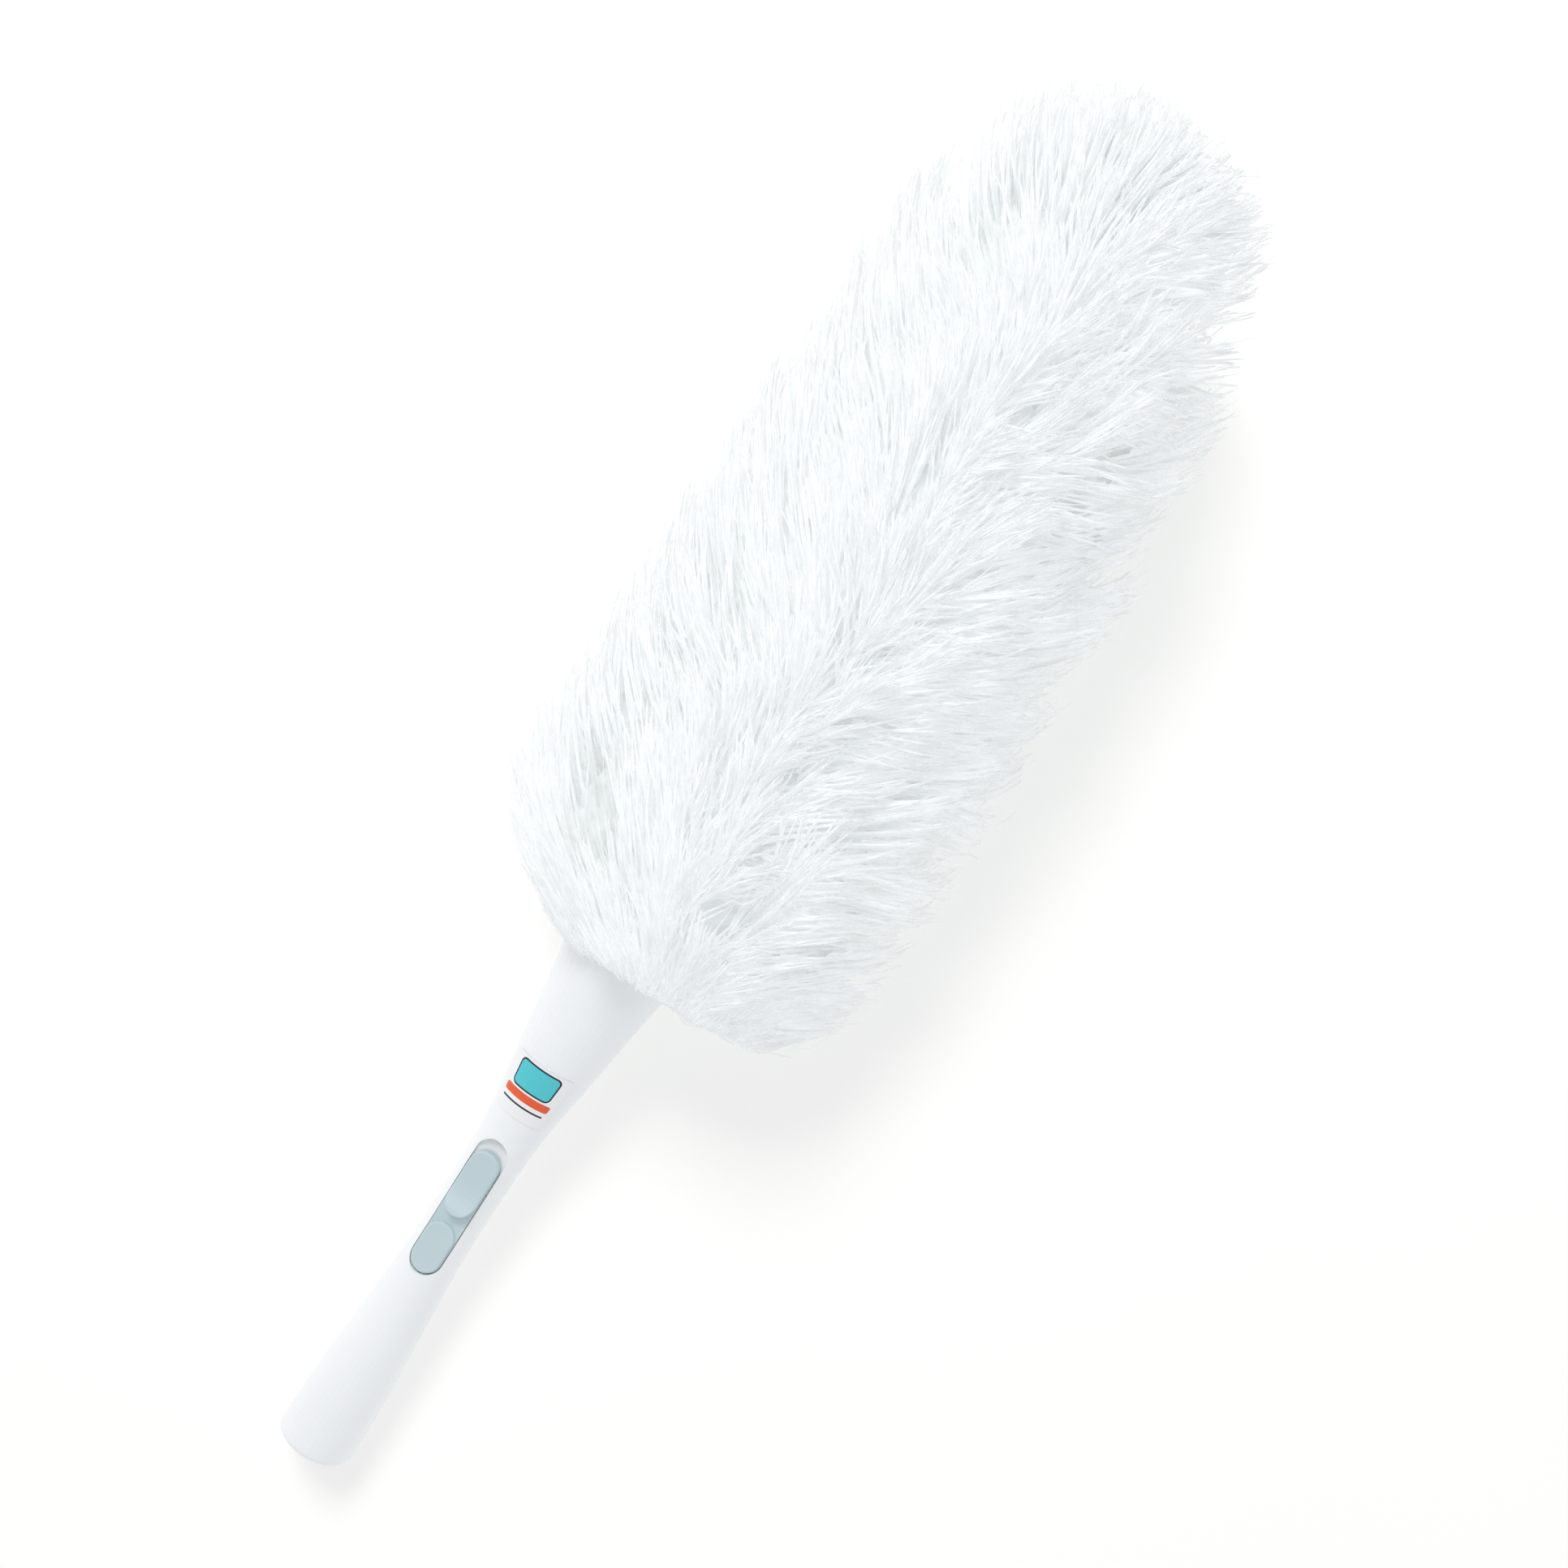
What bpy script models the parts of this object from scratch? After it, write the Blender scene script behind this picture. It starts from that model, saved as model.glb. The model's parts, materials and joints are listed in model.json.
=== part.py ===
"""A hand duster: a white clamshell handle with a grey thumb slide that lets the fluffy head go.

+X runs along the duster from the flat end of the handle to the tip of the head. The origin is the
centre of the handle's end face, and +Z points out through the thumb slide. Lengths are in metres.
"""

import math

import bmesh
import bpy
from mathutils import Matrix

MM = 0.001

# Handle: outer diameters along a smooth curve, as (distance from the end, diameter) in millimetres
HANDLE_STATIONS = (
    (0, 32.0), (18, 31.6), (36, 30.2), (68, 26.0), (100, 22.6), (120, 22.6),
    (148, 23.8), (168, 27.4), (184, 32.6), (205, 38.0), (222, 43.0), (239, 48.8),
)
HANDLE_LENGTH = 239 * MM
WALL = 2.2 * MM
END_FILLET = 3.0 * MM
END_FILLET_STEPS = 5
MOUTH_ROUND = 0.7 * MM
SHELL_STEP = 12 * MM
GAP = 0.3 * MM
SPLIT_GAP = 0.15 * MM
RUNNING = 0.2 * MM

# End plug
PLUG_R = 10.5 * MM
PLUG_FLANGE_R = 12.5 * MM
PLUG_DEPTH = 3.2 * MM
PLUG_FLANGE = 2.3 * MM
PLUG_CHAMFER = 0.5 * MM

# Screws that hold the two shells together, all driven from below
SHELL_SCREWS = {
    "rear": (22 * MM, 0.0),
    "middle": (66 * MM, 0.0),
    "front_left": (199 * MM, 12.6 * MM),
    "front_right": (199 * MM, -12.6 * MM),
}
COLUMN_R = 4.2 * MM
GUIDE_POST_R = 3.0 * MM
GUIDE_PILOT_BOTTOM_Z = -7 * MM
SCREW_HEAD_R = 2.7 * MM
SCREW_HEAD_H = 1.8 * MM
SCREW_SHANK_R = 1.2 * MM
SEAT_Z = -6.0 * MM
SCREW_TOP_Z = 7.0 * MM

# Window for the thumb slide, and the deck at its foot that closes the handle under the slide
WINDOW_START = 88.5 * MM
WINDOW_END = 151.0 * MM
WINDOW_W = 14.0 * MM
WINDOW_CHAMFER = 0.9 * MM
WINDOW_CHAMFER_Z = (10.8 * MM, 12.8 * MM)
DECK_START = 84 * MM
DECK_END = WINDOW_END + 0.2 * MM
DECK_HALF_W = 12 * MM
DECK_Z = (6.5 * MM, 7.7 * MM)

# Thumb slide: a base with two pads. The upper pad is flat, then rises to a lip above the valley.
SLIDE_START = 88.9 * MM
SLIDE_TRAVEL = 5.0 * MM
SLIDE_END = WINDOW_END - SLIDE_TRAVEL - 0.4 * MM
SLIDE_BASE_END = SLIDE_END - 1.2 * MM
SLIDE_W = 13.2 * MM
SLIDE_BASE_Z = 8.0 * MM
SLIDE_VALLEY_Z = 9.6 * MM
PAD_INSET = 0.4 * MM
PAD_RIM = 0.7 * MM
PAD_ARC_STEPS = 7
PAD_SIDE_STEPS = 8
LOWER_PAD = (SLIDE_START + PAD_INSET, 111.6 * MM)
LOWER_PAD_TOP = ((88, 11.6), (94, 11.2), (107, 11.2), (112, 11.5))
UPPER_PAD = (117.2 * MM, SLIDE_END)
UPPER_PAD_TOP = (
    (117, 14.8), (119, 14.7), (121.5, 13.8), (124.5, 12.7), (127.5, 12.2), (140, 12.3), (146, 12.8),
)

# Carriage under the slide, and the guide plate that it runs on
CARRIAGE_START = 92 * MM
CARRIAGE_END = 155.5 * MM
CARRIAGE_W = 15.8 * MM
CARRIAGE_Z = (1.0 * MM, 3.6 * MM)
WEB_START = 151.5 * MM
SPRING_BLOCK = 5 * MM
SPRING_BLOCK_HALF_W = 5 * MM
SPRING_BLOCK_Z = (-3.4 * MM, 3.0 * MM)
NUB_R = 1.7 * MM
NUB_LENGTH = 4 * MM
NOSE_TIP = 182.2 * MM
NOSE_ROOT = 176.2 * MM
NOSE_HALF_W = 3.4 * MM
NOSE_TIP_HALF_W = 0.5 * MM
NOSE_SHOULDER = 2 * MM
ARM_Z = (7.5 * MM, 8.8 * MM)
ARM_HALF_W = 2.0 * MM
LEG_STATIONS = (101 * MM, 131 * MM)
LEG_HALF = 3 * MM
LEG_FOOT_Z = 1.6 * MM
SLIDE_SCREW_X = 116 * MM
SLIDE_SCREW_SEAT_Z = 2.3 * MM
SLIDE_SCREW_LENGTH = 4.6 * MM
SLIDE_SCREW_R = 0.9 * MM
SLIDE_SCREW_HEAD_R = 1.9 * MM
SLIDE_BOSS_R = 2.6 * MM
SLIDE_PILOT_TOP_Z = 7.7 * MM
GUIDE_START = 86 * MM
GUIDE_END = 144.5 * MM
GUIDE_W = 17.0 * MM
GUIDE_Z = (-2.2 * MM, 0.6 * MM)
GUIDE_SEAT_DEPTH = 0.9 * MM
GUIDE_SCREWS = {"rear": 90.5 * MM, "front": 140.5 * MM}
GUIDE_SCREW_LENGTH = 5 * MM
GUIDE_SCREW_HEAD_R = 2.1 * MM
GUIDE_SCREW_HEAD_H = 1.2 * MM

# Socket, clip and stem that join the head to the handle
SOCKET_START = 170 * MM
SOCKET_END = 216 * MM
SOCKET_R = 7.0 * MM
SOCKET_REAR_PLATE = 2.2 * MM
SOCKET_RING = (212 * MM, 214 * MM)
STEM_R = 5.0 * MM
STEM_START = 173 * MM
STEM_LEAD = (1.6 * MM, 1.2 * MM)
KEY_X = (205 * MM, 222 * MM)
KEY_HALF_W = 1.2 * MM
KEY_Z = (4.3 * MM, 6.1 * MM)
CLIP_X = 183.2 * MM
CLIP_WIRE_R = 0.7 * MM
CLIP_EARS = ((1.6 * MM, 12 * MM), (1.6 * MM, 8.8 * MM))
CLIP_LEG_Z = (6.4 * MM, -4.4 * MM)
CLIP_BEND_STEPS = 6
GROOVE_R = 3.9 * MM
GROOVE_W = 2.4 * MM
FLANGE_START = 221 * MM
FLANGE_THICKNESS = 4 * MM
FLANGE_R = 18.6 * MM
HUB_R = 9.0 * MM
HUB_END = 236 * MM

# Return spring
SPRING_R = 2.6 * MM
SPRING_WIRE_R = 0.4 * MM
SPRING_TURNS = 8
SPRING_STEPS = 10

# Head: twisted wire core and the outline of the fibres, as (distance, radius) in millimetres
CORE_WIRE_R = 1.6 * MM
CORE_HELIX_R = 1.9 * MM
CORE_PITCH = 20 * MM
CORE_STEPS = 7
CORE_CLEARANCE = 0.4 * MM
CORE_START = 207 * MM
CORE_END = 580 * MM
TIP_CAP_END = 588 * MM
TIP_CAP_WALL = 1.8 * MM
TIP_CAP_OVERLAP = 7 * MM
FERRULE_R = 5 * MM
FERRULE_LENGTH = 14 * MM
HEAD_STATIONS = (
    (235, 52), (244, 68), (262, 78), (300, 85), (360, 84), (430, 84),
    (480, 80), (540, 73), (566, 62), (588, 46), (602, 26), (609, 1),
)
BANDS = {
    "base": (240 * MM, 300 * MM),
    "lower": (300 * MM, 370 * MM),
    "middle": (370 * MM, 440 * MM),
    "upper": (440 * MM, 515 * MM),
    "tip": (515 * MM, 609 * MM),
}
BAND_GAP = 0.6 * MM
BAND_BORE_R = 6.6 * MM
BAND_STEP = 14 * MM

# Label round the top of the handle
LABEL_START = 163 * MM
LABEL_END = 188 * MM
LABEL_HALF_ANGLE = math.radians(58)
LABEL_LIFT = 0.12 * MM
LABEL_THICKNESS = 0.25 * MM
LABEL_STEPS = (4, 20)

# Steps round each kind of turned part, and how far cutters reach past what they cut
HANDLE_STEPS = 40
SMALL_STEPS = 24
BAND_STEPS = 40
FAR = 60 * MM
WELD = 0.001 * MM


def clear_scene():
    for thing in list(bpy.data.objects):
        bpy.data.objects.remove(thing)


def new_collection(name):
    made = bpy.data.collections.new(name)
    bpy.context.scene.collection.children.link(made)
    return made


def new_material(name, colour, roughness, metallic=0.0):
    made = bpy.data.materials.new(name)
    made.use_nodes = True
    shader = made.node_tree.nodes["Principled BSDF"]
    shader.inputs["Base Color"].default_value = (*colour, 1.0)
    shader.inputs["Roughness"].default_value = roughness
    shader.inputs["Metallic"].default_value = metallic
    made.diffuse_color = (*colour, 1.0)
    return made


clear_scene()
PARTS = new_collection("feather_duster")
CUTTERS = new_collection("cutters")


def smooth_value(stations, x):
    """The value at x on a curve through the stations, which are (position, value) pairs."""
    spans = list(zip(stations, stations[1:]))
    chords = [(q - p) / (b - a) for (a, p), (b, q) in spans]
    middles = [(s + t) / 2 for s, t in zip(chords, chords[1:])]
    slopes = [chords[0], *middles, chords[-1]]
    for i, ((a, p), (b, q)) in enumerate(spans):
        if x <= b or i == len(spans) - 1:
            span = b - a
            t = min(max((x - a) / span, 0.0), 1.0)
            rise = (2 * t**3 - 3 * t**2 + 1) * p + (3 * t**2 - 2 * t**3) * q
            lean = (t**3 - 2 * t**2 + t) * slopes[i] + (t**3 - t**2) * slopes[i + 1]
            return rise + lean * span


def handle_r(x):
    return smooth_value(HANDLE_STATIONS, x / MM) * MM / 2


def head_r(x):
    return smooth_value(HEAD_STATIONS, x / MM) * MM


def steps_between(start, end, step):
    """Evenly spaced positions from start to end, at most a step apart."""
    count = max(1, math.ceil((end - start) / step))
    return [start + (end - start) * i / count for i in range(count + 1)]


def add(name, mesh, material):
    """A named part of the duster, shaded smooth except across its real edges."""
    made = bpy.data.objects.new(name, mesh)
    PARTS.objects.link(made)
    mesh.materials.clear()
    mesh.materials.append(material)
    mesh.shade_smooth()
    mesh.set_sharp_from_angle(angle=math.radians(35))
    return made


def baked(helper):
    """The helper's evaluated mesh, closed up and facing outwards. The helper goes."""
    bpy.context.view_layer.update()
    graph = bpy.context.evaluated_depsgraph_get()
    mesh = bpy.data.meshes.new_from_object(helper.evaluated_get(graph))
    bpy.data.objects.remove(helper)
    work = bmesh.new()
    work.from_mesh(mesh)
    bmesh.ops.remove_doubles(work, verts=work.verts, dist=WELD)
    bmesh.ops.recalc_face_normals(work, faces=work.faces)
    work.to_mesh(mesh)
    work.free()
    return mesh


def helper_object(data):
    made = bpy.data.objects.new("helper", data)
    bpy.context.scene.collection.objects.link(made)
    return made


def turned(profile, steps):
    """A solid turned about +X. The profile is (x, radius) pairs; it's closed unless it meets the axis."""
    mesh = bpy.data.meshes.new("profile")
    edges = [(i, i + 1) for i in range(len(profile) - 1)]
    if min(r for _, r in profile) > WELD:
        edges.append((len(profile) - 1, 0))
    mesh.from_pydata([(r, 0.0, x) for x, r in profile], edges, [])
    helper = helper_object(mesh)
    screw = helper.modifiers.new("turn", "SCREW")
    screw.steps = steps
    screw.render_steps = steps
    screw.use_merge_vertices = True
    screw.merge_threshold = WELD
    made = baked(helper)
    made.transform(Matrix.Rotation(math.radians(90), 4, "Y"))
    return made


def block(x, y, z):
    """A box from three (low, high) pairs."""
    bpy.ops.mesh.primitive_cube_add(size=1)
    helper = bpy.context.object
    sides = [high - low for low, high in (x, y, z)]
    middle = [(low + high) / 2 for low, high in (x, y, z)]
    helper.data.transform(Matrix.Translation(middle) @ Matrix.Diagonal((*sides, 1.0)))
    return baked(helper)


def post(x, y, r, z):
    """A vertical cylinder between a (low, high) pair of heights."""
    bpy.ops.mesh.primitive_cylinder_add(vertices=SMALL_STEPS, radius=r, depth=z[1] - z[0])
    helper = bpy.context.object
    helper.data.transform(Matrix.Translation((x, y, (z[0] + z[1]) / 2)))
    return baked(helper)


def plate(outline, z):
    """A flat plate with this (x, y) outline between two heights."""
    curve = bpy.data.curves.new("outline", "CURVE")
    curve.dimensions = "2D"
    curve.fill_mode = "BOTH"
    curve.extrude = (z[1] - z[0]) / 2
    line = curve.splines.new("POLY")
    line.points.add(len(outline) - 1)
    for point, (x, y) in zip(line.points, outline):
        point.co = (x, y, 0.0, 1.0)
    line.use_cyclic_u = True
    made = baked(helper_object(curve))
    made.transform(Matrix.Translation((0.0, 0.0, (z[0] + z[1]) / 2)))
    return made


def stacked(rings):
    """A closed solid through rings of points, each ring as long as the others, bottom ring first."""
    size = len(rings[0])
    faces = [tuple(range(size))[::-1]]
    for level in range(len(rings) - 1):
        low, high = level * size, (level + 1) * size
        for i in range(size):
            j = (i + 1) % size
            faces.append((low + i, low + j, high + j, high + i))
    top = (len(rings) - 1) * size
    half = size // 2
    faces.append((top, top + 1, top + size - 1))
    for i in range(1, half - 1):
        faces.append((top + i, top + i + 1, top + size - i - 1, top + size - i))
    faces.append((top + half - 1, top + half, top + half + 1))
    mesh = bpy.data.meshes.new("stacked")
    mesh.from_pydata([point for ring in rings for point in ring], [], faces)
    helper = helper_object(mesh)
    helper.modifiers.new("flat_faces", "TRIANGULATE")
    return baked(helper)


def wire(points, radius, bevel_resolution=2):
    """A round wire along these points, with closed ends."""
    curve = bpy.data.curves.new("wire", "CURVE")
    curve.dimensions = "3D"
    curve.bevel_depth = radius
    curve.bevel_resolution = bevel_resolution
    curve.use_fill_caps = True
    line = curve.splines.new("POLY")
    line.points.add(len(points) - 1)
    for point, place in zip(line.points, points):
        point.co = (*place, 1.0)
    return baked(helper_object(curve))


def combine(target, operation, *meshes):
    """Booleans that join meshes to the target, cut them from it, or keep what both share."""
    for mesh in meshes:
        cutter = bpy.data.objects.new(f"{target.name}_{operation.lower()}", mesh)
        CUTTERS.objects.link(cutter)
        cutter.hide_render = True
        cutter.display_type = "WIRE"
        modifier = target.modifiers.new(operation.lower(), "BOOLEAN")
        modifier.operation = operation
        modifier.object = cutter


def joined(*meshes):
    """One mesh that holds these separate closed shapes."""
    work = bmesh.new()
    for mesh in meshes:
        work.from_mesh(mesh)
    made = bpy.data.meshes.new("joined")
    work.to_mesh(made)
    work.free()
    return made


def shell_profile():
    """The handle's wall: its outside from the end to the mouth, then its inside back to the plug."""
    centre_r = handle_r(0.0) - END_FILLET
    outside = []
    for i in range(END_FILLET_STEPS + 1):
        turn = math.radians(90 * i / END_FILLET_STEPS)
        outside.append((END_FILLET * (1 - math.cos(turn)), centre_r + END_FILLET * math.sin(turn)))
    places = steps_between(SHELL_STEP, HANDLE_LENGTH - MOUTH_ROUND, SHELL_STEP)
    outside += [(x, handle_r(x)) for x in places]
    mouth_r = handle_r(HANDLE_LENGTH)
    lip = [(HANDLE_LENGTH, mouth_r - MOUTH_ROUND), (HANDLE_LENGTH, mouth_r - WALL + MOUTH_ROUND / 2)]
    places = steps_between(PLUG_DEPTH, HANDLE_LENGTH - MOUTH_ROUND, SHELL_STEP)
    inside = [(x, handle_r(x) - WALL) for x in places]
    seat = [(PLUG_DEPTH, PLUG_R + GAP), (0.0, PLUG_R + GAP)]
    return outside + lip + inside[::-1] + seat


def core_of_handle():
    """All that lies inside the middle of the wall, which trims what is joined to the wall inside."""
    places = steps_between(PLUG_DEPTH + WALL, HANDLE_LENGTH - 2 * WALL, SHELL_STEP)
    rim = [(x, handle_r(x) - WALL / 2) for x in places]
    return turned([(rim[0][0], 0.0), *rim, (rim[-1][0], 0.0)], HANDLE_STEPS)


def inner_ribs(*shapes):
    """The screw columns and these shapes, trimmed so that they end within the handle's wall."""
    columns = [post(x, y, COLUMN_R, (-FAR, FAR)) for x, y in SHELL_SCREWS.values()]
    helper = helper_object(joined(*columns, *shapes))
    combine(helper, "INTERSECT", core_of_handle())
    return baked(helper)


def window():
    """What the slide's window takes from the wall, down to the deck, with a chamfer round its rim."""
    low, high = WINDOW_CHAMFER_Z
    grow = WINDOW_CHAMFER
    levels = ((DECK_Z[1], 0.0), (low, 0.0), (high, grow), (FAR, grow))
    rings = []
    for z, wider in levels:
        outline = pad_outline(WINDOW_START - wider, WINDOW_END + wider, WINDOW_W + 2 * wider)
        rings.append([(x, y, z) for x, y in outline])
    return stacked(rings)


def handle_shells(white):
    length = (-FAR, HANDLE_LENGTH + FAR)
    pilot_r = SCREW_SHANK_R + GAP
    deck = block((DECK_START, DECK_END), (-DECK_HALF_W, DECK_HALF_W), DECK_Z)
    upper = add("handle_shell_upper", turned(shell_profile(), HANDLE_STEPS), white)
    combine(upper, "UNION", inner_ribs(deck))
    combine(upper, "INTERSECT", block(length, (-FAR, FAR), (SPLIT_GAP, FAR)))
    combine(upper, "DIFFERENCE", window())
    reach = LEG_HALF + GAP
    leg_way = (LEG_STATIONS[0] - reach, LEG_STATIONS[1] + SLIDE_TRAVEL + reach)
    combine(upper, "DIFFERENCE", block(leg_way, (-reach, reach), (DECK_Z[0] - MM, DECK_Z[1] + MM)))
    pilots = [post(x, y, pilot_r, (-MM, SCREW_TOP_Z + MM)) for x, y in SHELL_SCREWS.values()]
    combine(upper, "DIFFERENCE", joined(*pilots))

    posts = [post(x, 0.0, GUIDE_POST_R, (-FAR, GUIDE_Z[0] - GAP)) for x in GUIDE_SCREWS.values()]
    lower = add("handle_shell_lower", turned(shell_profile(), HANDLE_STEPS), white)
    combine(lower, "UNION", inner_ribs(*posts))
    combine(lower, "INTERSECT", block(length, (-FAR, FAR), (-FAR, -SPLIT_GAP)))
    holes = [post(x, y, pilot_r, (SEAT_Z - MM, MM)) for x, y in SHELL_SCREWS.values()]
    combine(lower, "DIFFERENCE", joined(*holes))
    recess_r = SCREW_HEAD_R + GAP
    recesses = [post(x, y, recess_r, (-FAR, SEAT_Z)) for x, y in SHELL_SCREWS.values()]
    combine(lower, "DIFFERENCE", joined(*recesses))
    guide_pilot_z = (GUIDE_PILOT_BOTTOM_Z, 0.0)
    guide_pilots = [post(x, 0.0, pilot_r, guide_pilot_z) for x in GUIDE_SCREWS.values()]
    combine(lower, "DIFFERENCE", joined(*guide_pilots))


def end_plug(white):
    face_end = PLUG_DEPTH + GAP
    flange_end = PLUG_DEPTH + PLUG_FLANGE
    profile = [
        (0.0, 0.0), (0.0, PLUG_R - PLUG_CHAMFER), (PLUG_CHAMFER, PLUG_R), (face_end, PLUG_R),
        (face_end, PLUG_FLANGE_R), (flange_end, PLUG_FLANGE_R), (flange_end, 0.0),
    ]
    add("end_plug", turned(profile, HANDLE_STEPS), white)


def screw(name, place, length, metal, head=(SCREW_HEAD_R, SCREW_HEAD_H), shank_r=SCREW_SHANK_R, up=1):
    """A pan-head screw with a cross recess. Its head lies below the place, or above it if up is -1."""
    head_r, head_h = head
    profile = [
        (-head_h, 0.0), (-head_h, head_r * 0.75), (-head_h * 0.6, head_r), (0.0, head_r),
        (0.0, shank_r), (length - 1.6 * shank_r, shank_r), (length, 0.0),
    ]
    made = add(name, turned(profile, SMALL_STEPS), metal)
    wide = head_r * 0.62
    thin = wide * 0.22
    depth = (-head_h - MM, -head_h * 0.45)
    for y, z in ((wide, thin), (thin, wide)):
        combine(made, "DIFFERENCE", block(depth, (-y, y), (-z, z)))
        made.modifiers[-1].object.parent = made
    turn = Matrix.Rotation(math.radians(-90 * up), 4, "Y")
    made.matrix_world = Matrix.Translation(place) @ turn


def shell_screws(metal):
    length = SCREW_TOP_Z - SEAT_Z + GAP
    for name, (x, y) in SHELL_SCREWS.items():
        screw(f"shell_screw_{name}", (x, y, SEAT_Z - GAP), length, metal)


def label(paper):
    """A thin label wrapped round the top of the handle, on the same curve as the wall under it."""
    columns, rows = LABEL_STEPS
    bpy.ops.mesh.primitive_grid_add(x_subdivisions=columns, y_subdivisions=rows, size=1)
    helper = bpy.context.object
    for vertex in helper.data.vertices:
        along, across = vertex.co.x + 0.5, vertex.co.y * 2
        x = LABEL_START + along * (LABEL_END - LABEL_START)
        r = handle_r(x) + LABEL_LIFT
        turn = across * LABEL_HALF_ANGLE
        vertex.co = (x, r * math.sin(turn), r * math.cos(turn))
    thicken = helper.modifiers.new("thicken", "SOLIDIFY")
    thicken.thickness = LABEL_THICKNESS
    thicken.offset = 1.0
    add("product_label", baked(helper), paper)


def pad_outline(start, end, width):
    """A slot's outline with full-round ends. Points i and -i lie at the same x, either side of Y."""
    r = width / 2
    half = []
    for i in range(PAD_ARC_STEPS):
        turn = math.radians(90 * i / PAD_ARC_STEPS)
        half.append((end - r + r * math.cos(turn), r * math.sin(turn)))
    for i in range(PAD_SIDE_STEPS):
        half.append((end - r + (start - end + 2 * r) * i / PAD_SIDE_STEPS, r))
    for i in range(PAD_ARC_STEPS + 1):
        turn = math.radians(90 + 90 * i / PAD_ARC_STEPS)
        half.append((start + r + r * math.cos(turn), r * math.sin(turn)))
    return half + [(x, -y) for x, y in half[-2:0:-1]]


def pad(start, end, top):
    """A pad for the thumb: its top follows a curve along the slide, and its rim is rounded."""
    width = SLIDE_W - 2 * PAD_INSET
    round_steps = [math.radians(a) for a in (0, 30, 60, 90)]
    rings = [[(x, y, SLIDE_BASE_Z + PAD_RIM) for x, y in pad_outline(start, end, width)]]
    for turn in round_steps:
        inset = PAD_RIM * (1 - math.cos(turn))
        drop = PAD_RIM * (1 - math.sin(turn))
        outline = pad_outline(start + inset, end - inset, width - 2 * inset)
        rings.append([(x, y, smooth_value(top, x / MM) * MM - drop) for x, y in outline])
    return stacked(rings)


def thumb_slide(grey):
    outline = pad_outline(SLIDE_START, SLIDE_BASE_END, SLIDE_W)
    rings = [[(x, y, z) for x, y in outline] for z in (SLIDE_BASE_Z, SLIDE_VALLEY_Z)]
    made = add("thumb_slide", stacked(rings), grey)
    combine(made, "UNION", pad(*LOWER_PAD, LOWER_PAD_TOP))
    combine(made, "UNION", pad(*UPPER_PAD, UPPER_PAD_TOP))
    root_z = (SLIDE_BASE_Z + SLIDE_VALLEY_Z) / 2
    leg_y = (-LEG_HALF, LEG_HALF)
    legs = [block((x - LEG_HALF, x + LEG_HALF), leg_y, (LEG_FOOT_Z, root_z)) for x in LEG_STATIONS]
    boss = post(SLIDE_SCREW_X, 0.0, SLIDE_BOSS_R, (CARRIAGE_Z[1] + GAP, root_z))
    combine(made, "UNION", *legs, boss)
    pilot = post(SLIDE_SCREW_X, 0.0, SLIDE_SCREW_R + GAP, (0.0, SLIDE_PILOT_TOP_Z))
    combine(made, "DIFFERENCE", pilot)


def slide_carriage(nylon):
    """The plate under the slide, with the block that meets the spring and the arm with its nose."""
    half_w = CARRIAGE_W / 2
    body = block((CARRIAGE_START, CARRIAGE_END), (-half_w, half_w), CARRIAGE_Z)
    made = add("slide_carriage", body, nylon)
    rear = (CARRIAGE_END - SPRING_BLOCK, CARRIAGE_END)
    side = (-SPRING_BLOCK_HALF_W, SPRING_BLOCK_HALF_W)
    combine(made, "UNION", block(rear, side, SPRING_BLOCK_Z))
    web_z = (SPRING_BLOCK_Z[1], ARM_Z[1])
    combine(made, "UNION", block((WEB_START, CARRIAGE_END), (-ARM_HALF_W, ARM_HALF_W), web_z))
    arm_start = CARRIAGE_END - MM
    shoulder = NOSE_ROOT - NOSE_SHOULDER
    nose = [
        (arm_start, -ARM_HALF_W), (shoulder, -ARM_HALF_W), (NOSE_ROOT, -NOSE_HALF_W),
        (NOSE_TIP, -NOSE_TIP_HALF_W), (NOSE_TIP, NOSE_TIP_HALF_W), (NOSE_ROOT, NOSE_HALF_W),
        (shoulder, ARM_HALF_W), (arm_start, ARM_HALF_W),
    ]
    combine(made, "UNION", plate(nose, ARM_Z))
    nub_end = CARRIAGE_END + NUB_LENGTH
    nub = [(arm_start, 0.0), (arm_start, NUB_R), (nub_end, NUB_R), (nub_end, 0.0)]
    combine(made, "UNION", turned(nub, SMALL_STEPS))
    reach = LEG_HALF + GAP
    through_z = (0.0, CARRIAGE_Z[1] + MM)
    for x in LEG_STATIONS:
        combine(made, "DIFFERENCE", block((x - reach, x + reach), (-reach, reach), through_z))
    shank_r = SLIDE_SCREW_R + GAP
    head_r = SLIDE_SCREW_HEAD_R + GAP
    combine(made, "DIFFERENCE", post(SLIDE_SCREW_X, 0.0, shank_r, through_z))
    combine(made, "DIFFERENCE", post(SLIDE_SCREW_X, 0.0, head_r, (0.0, SLIDE_SCREW_SEAT_Z)))


def slide_screw(metal):
    place = (SLIDE_SCREW_X, 0.0, SLIDE_SCREW_SEAT_Z - GAP)
    head = (SLIDE_SCREW_HEAD_R, SLIDE_SCREW_R)
    screw("slide_screw", place, SLIDE_SCREW_LENGTH, metal, head, SLIDE_SCREW_R)


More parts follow.
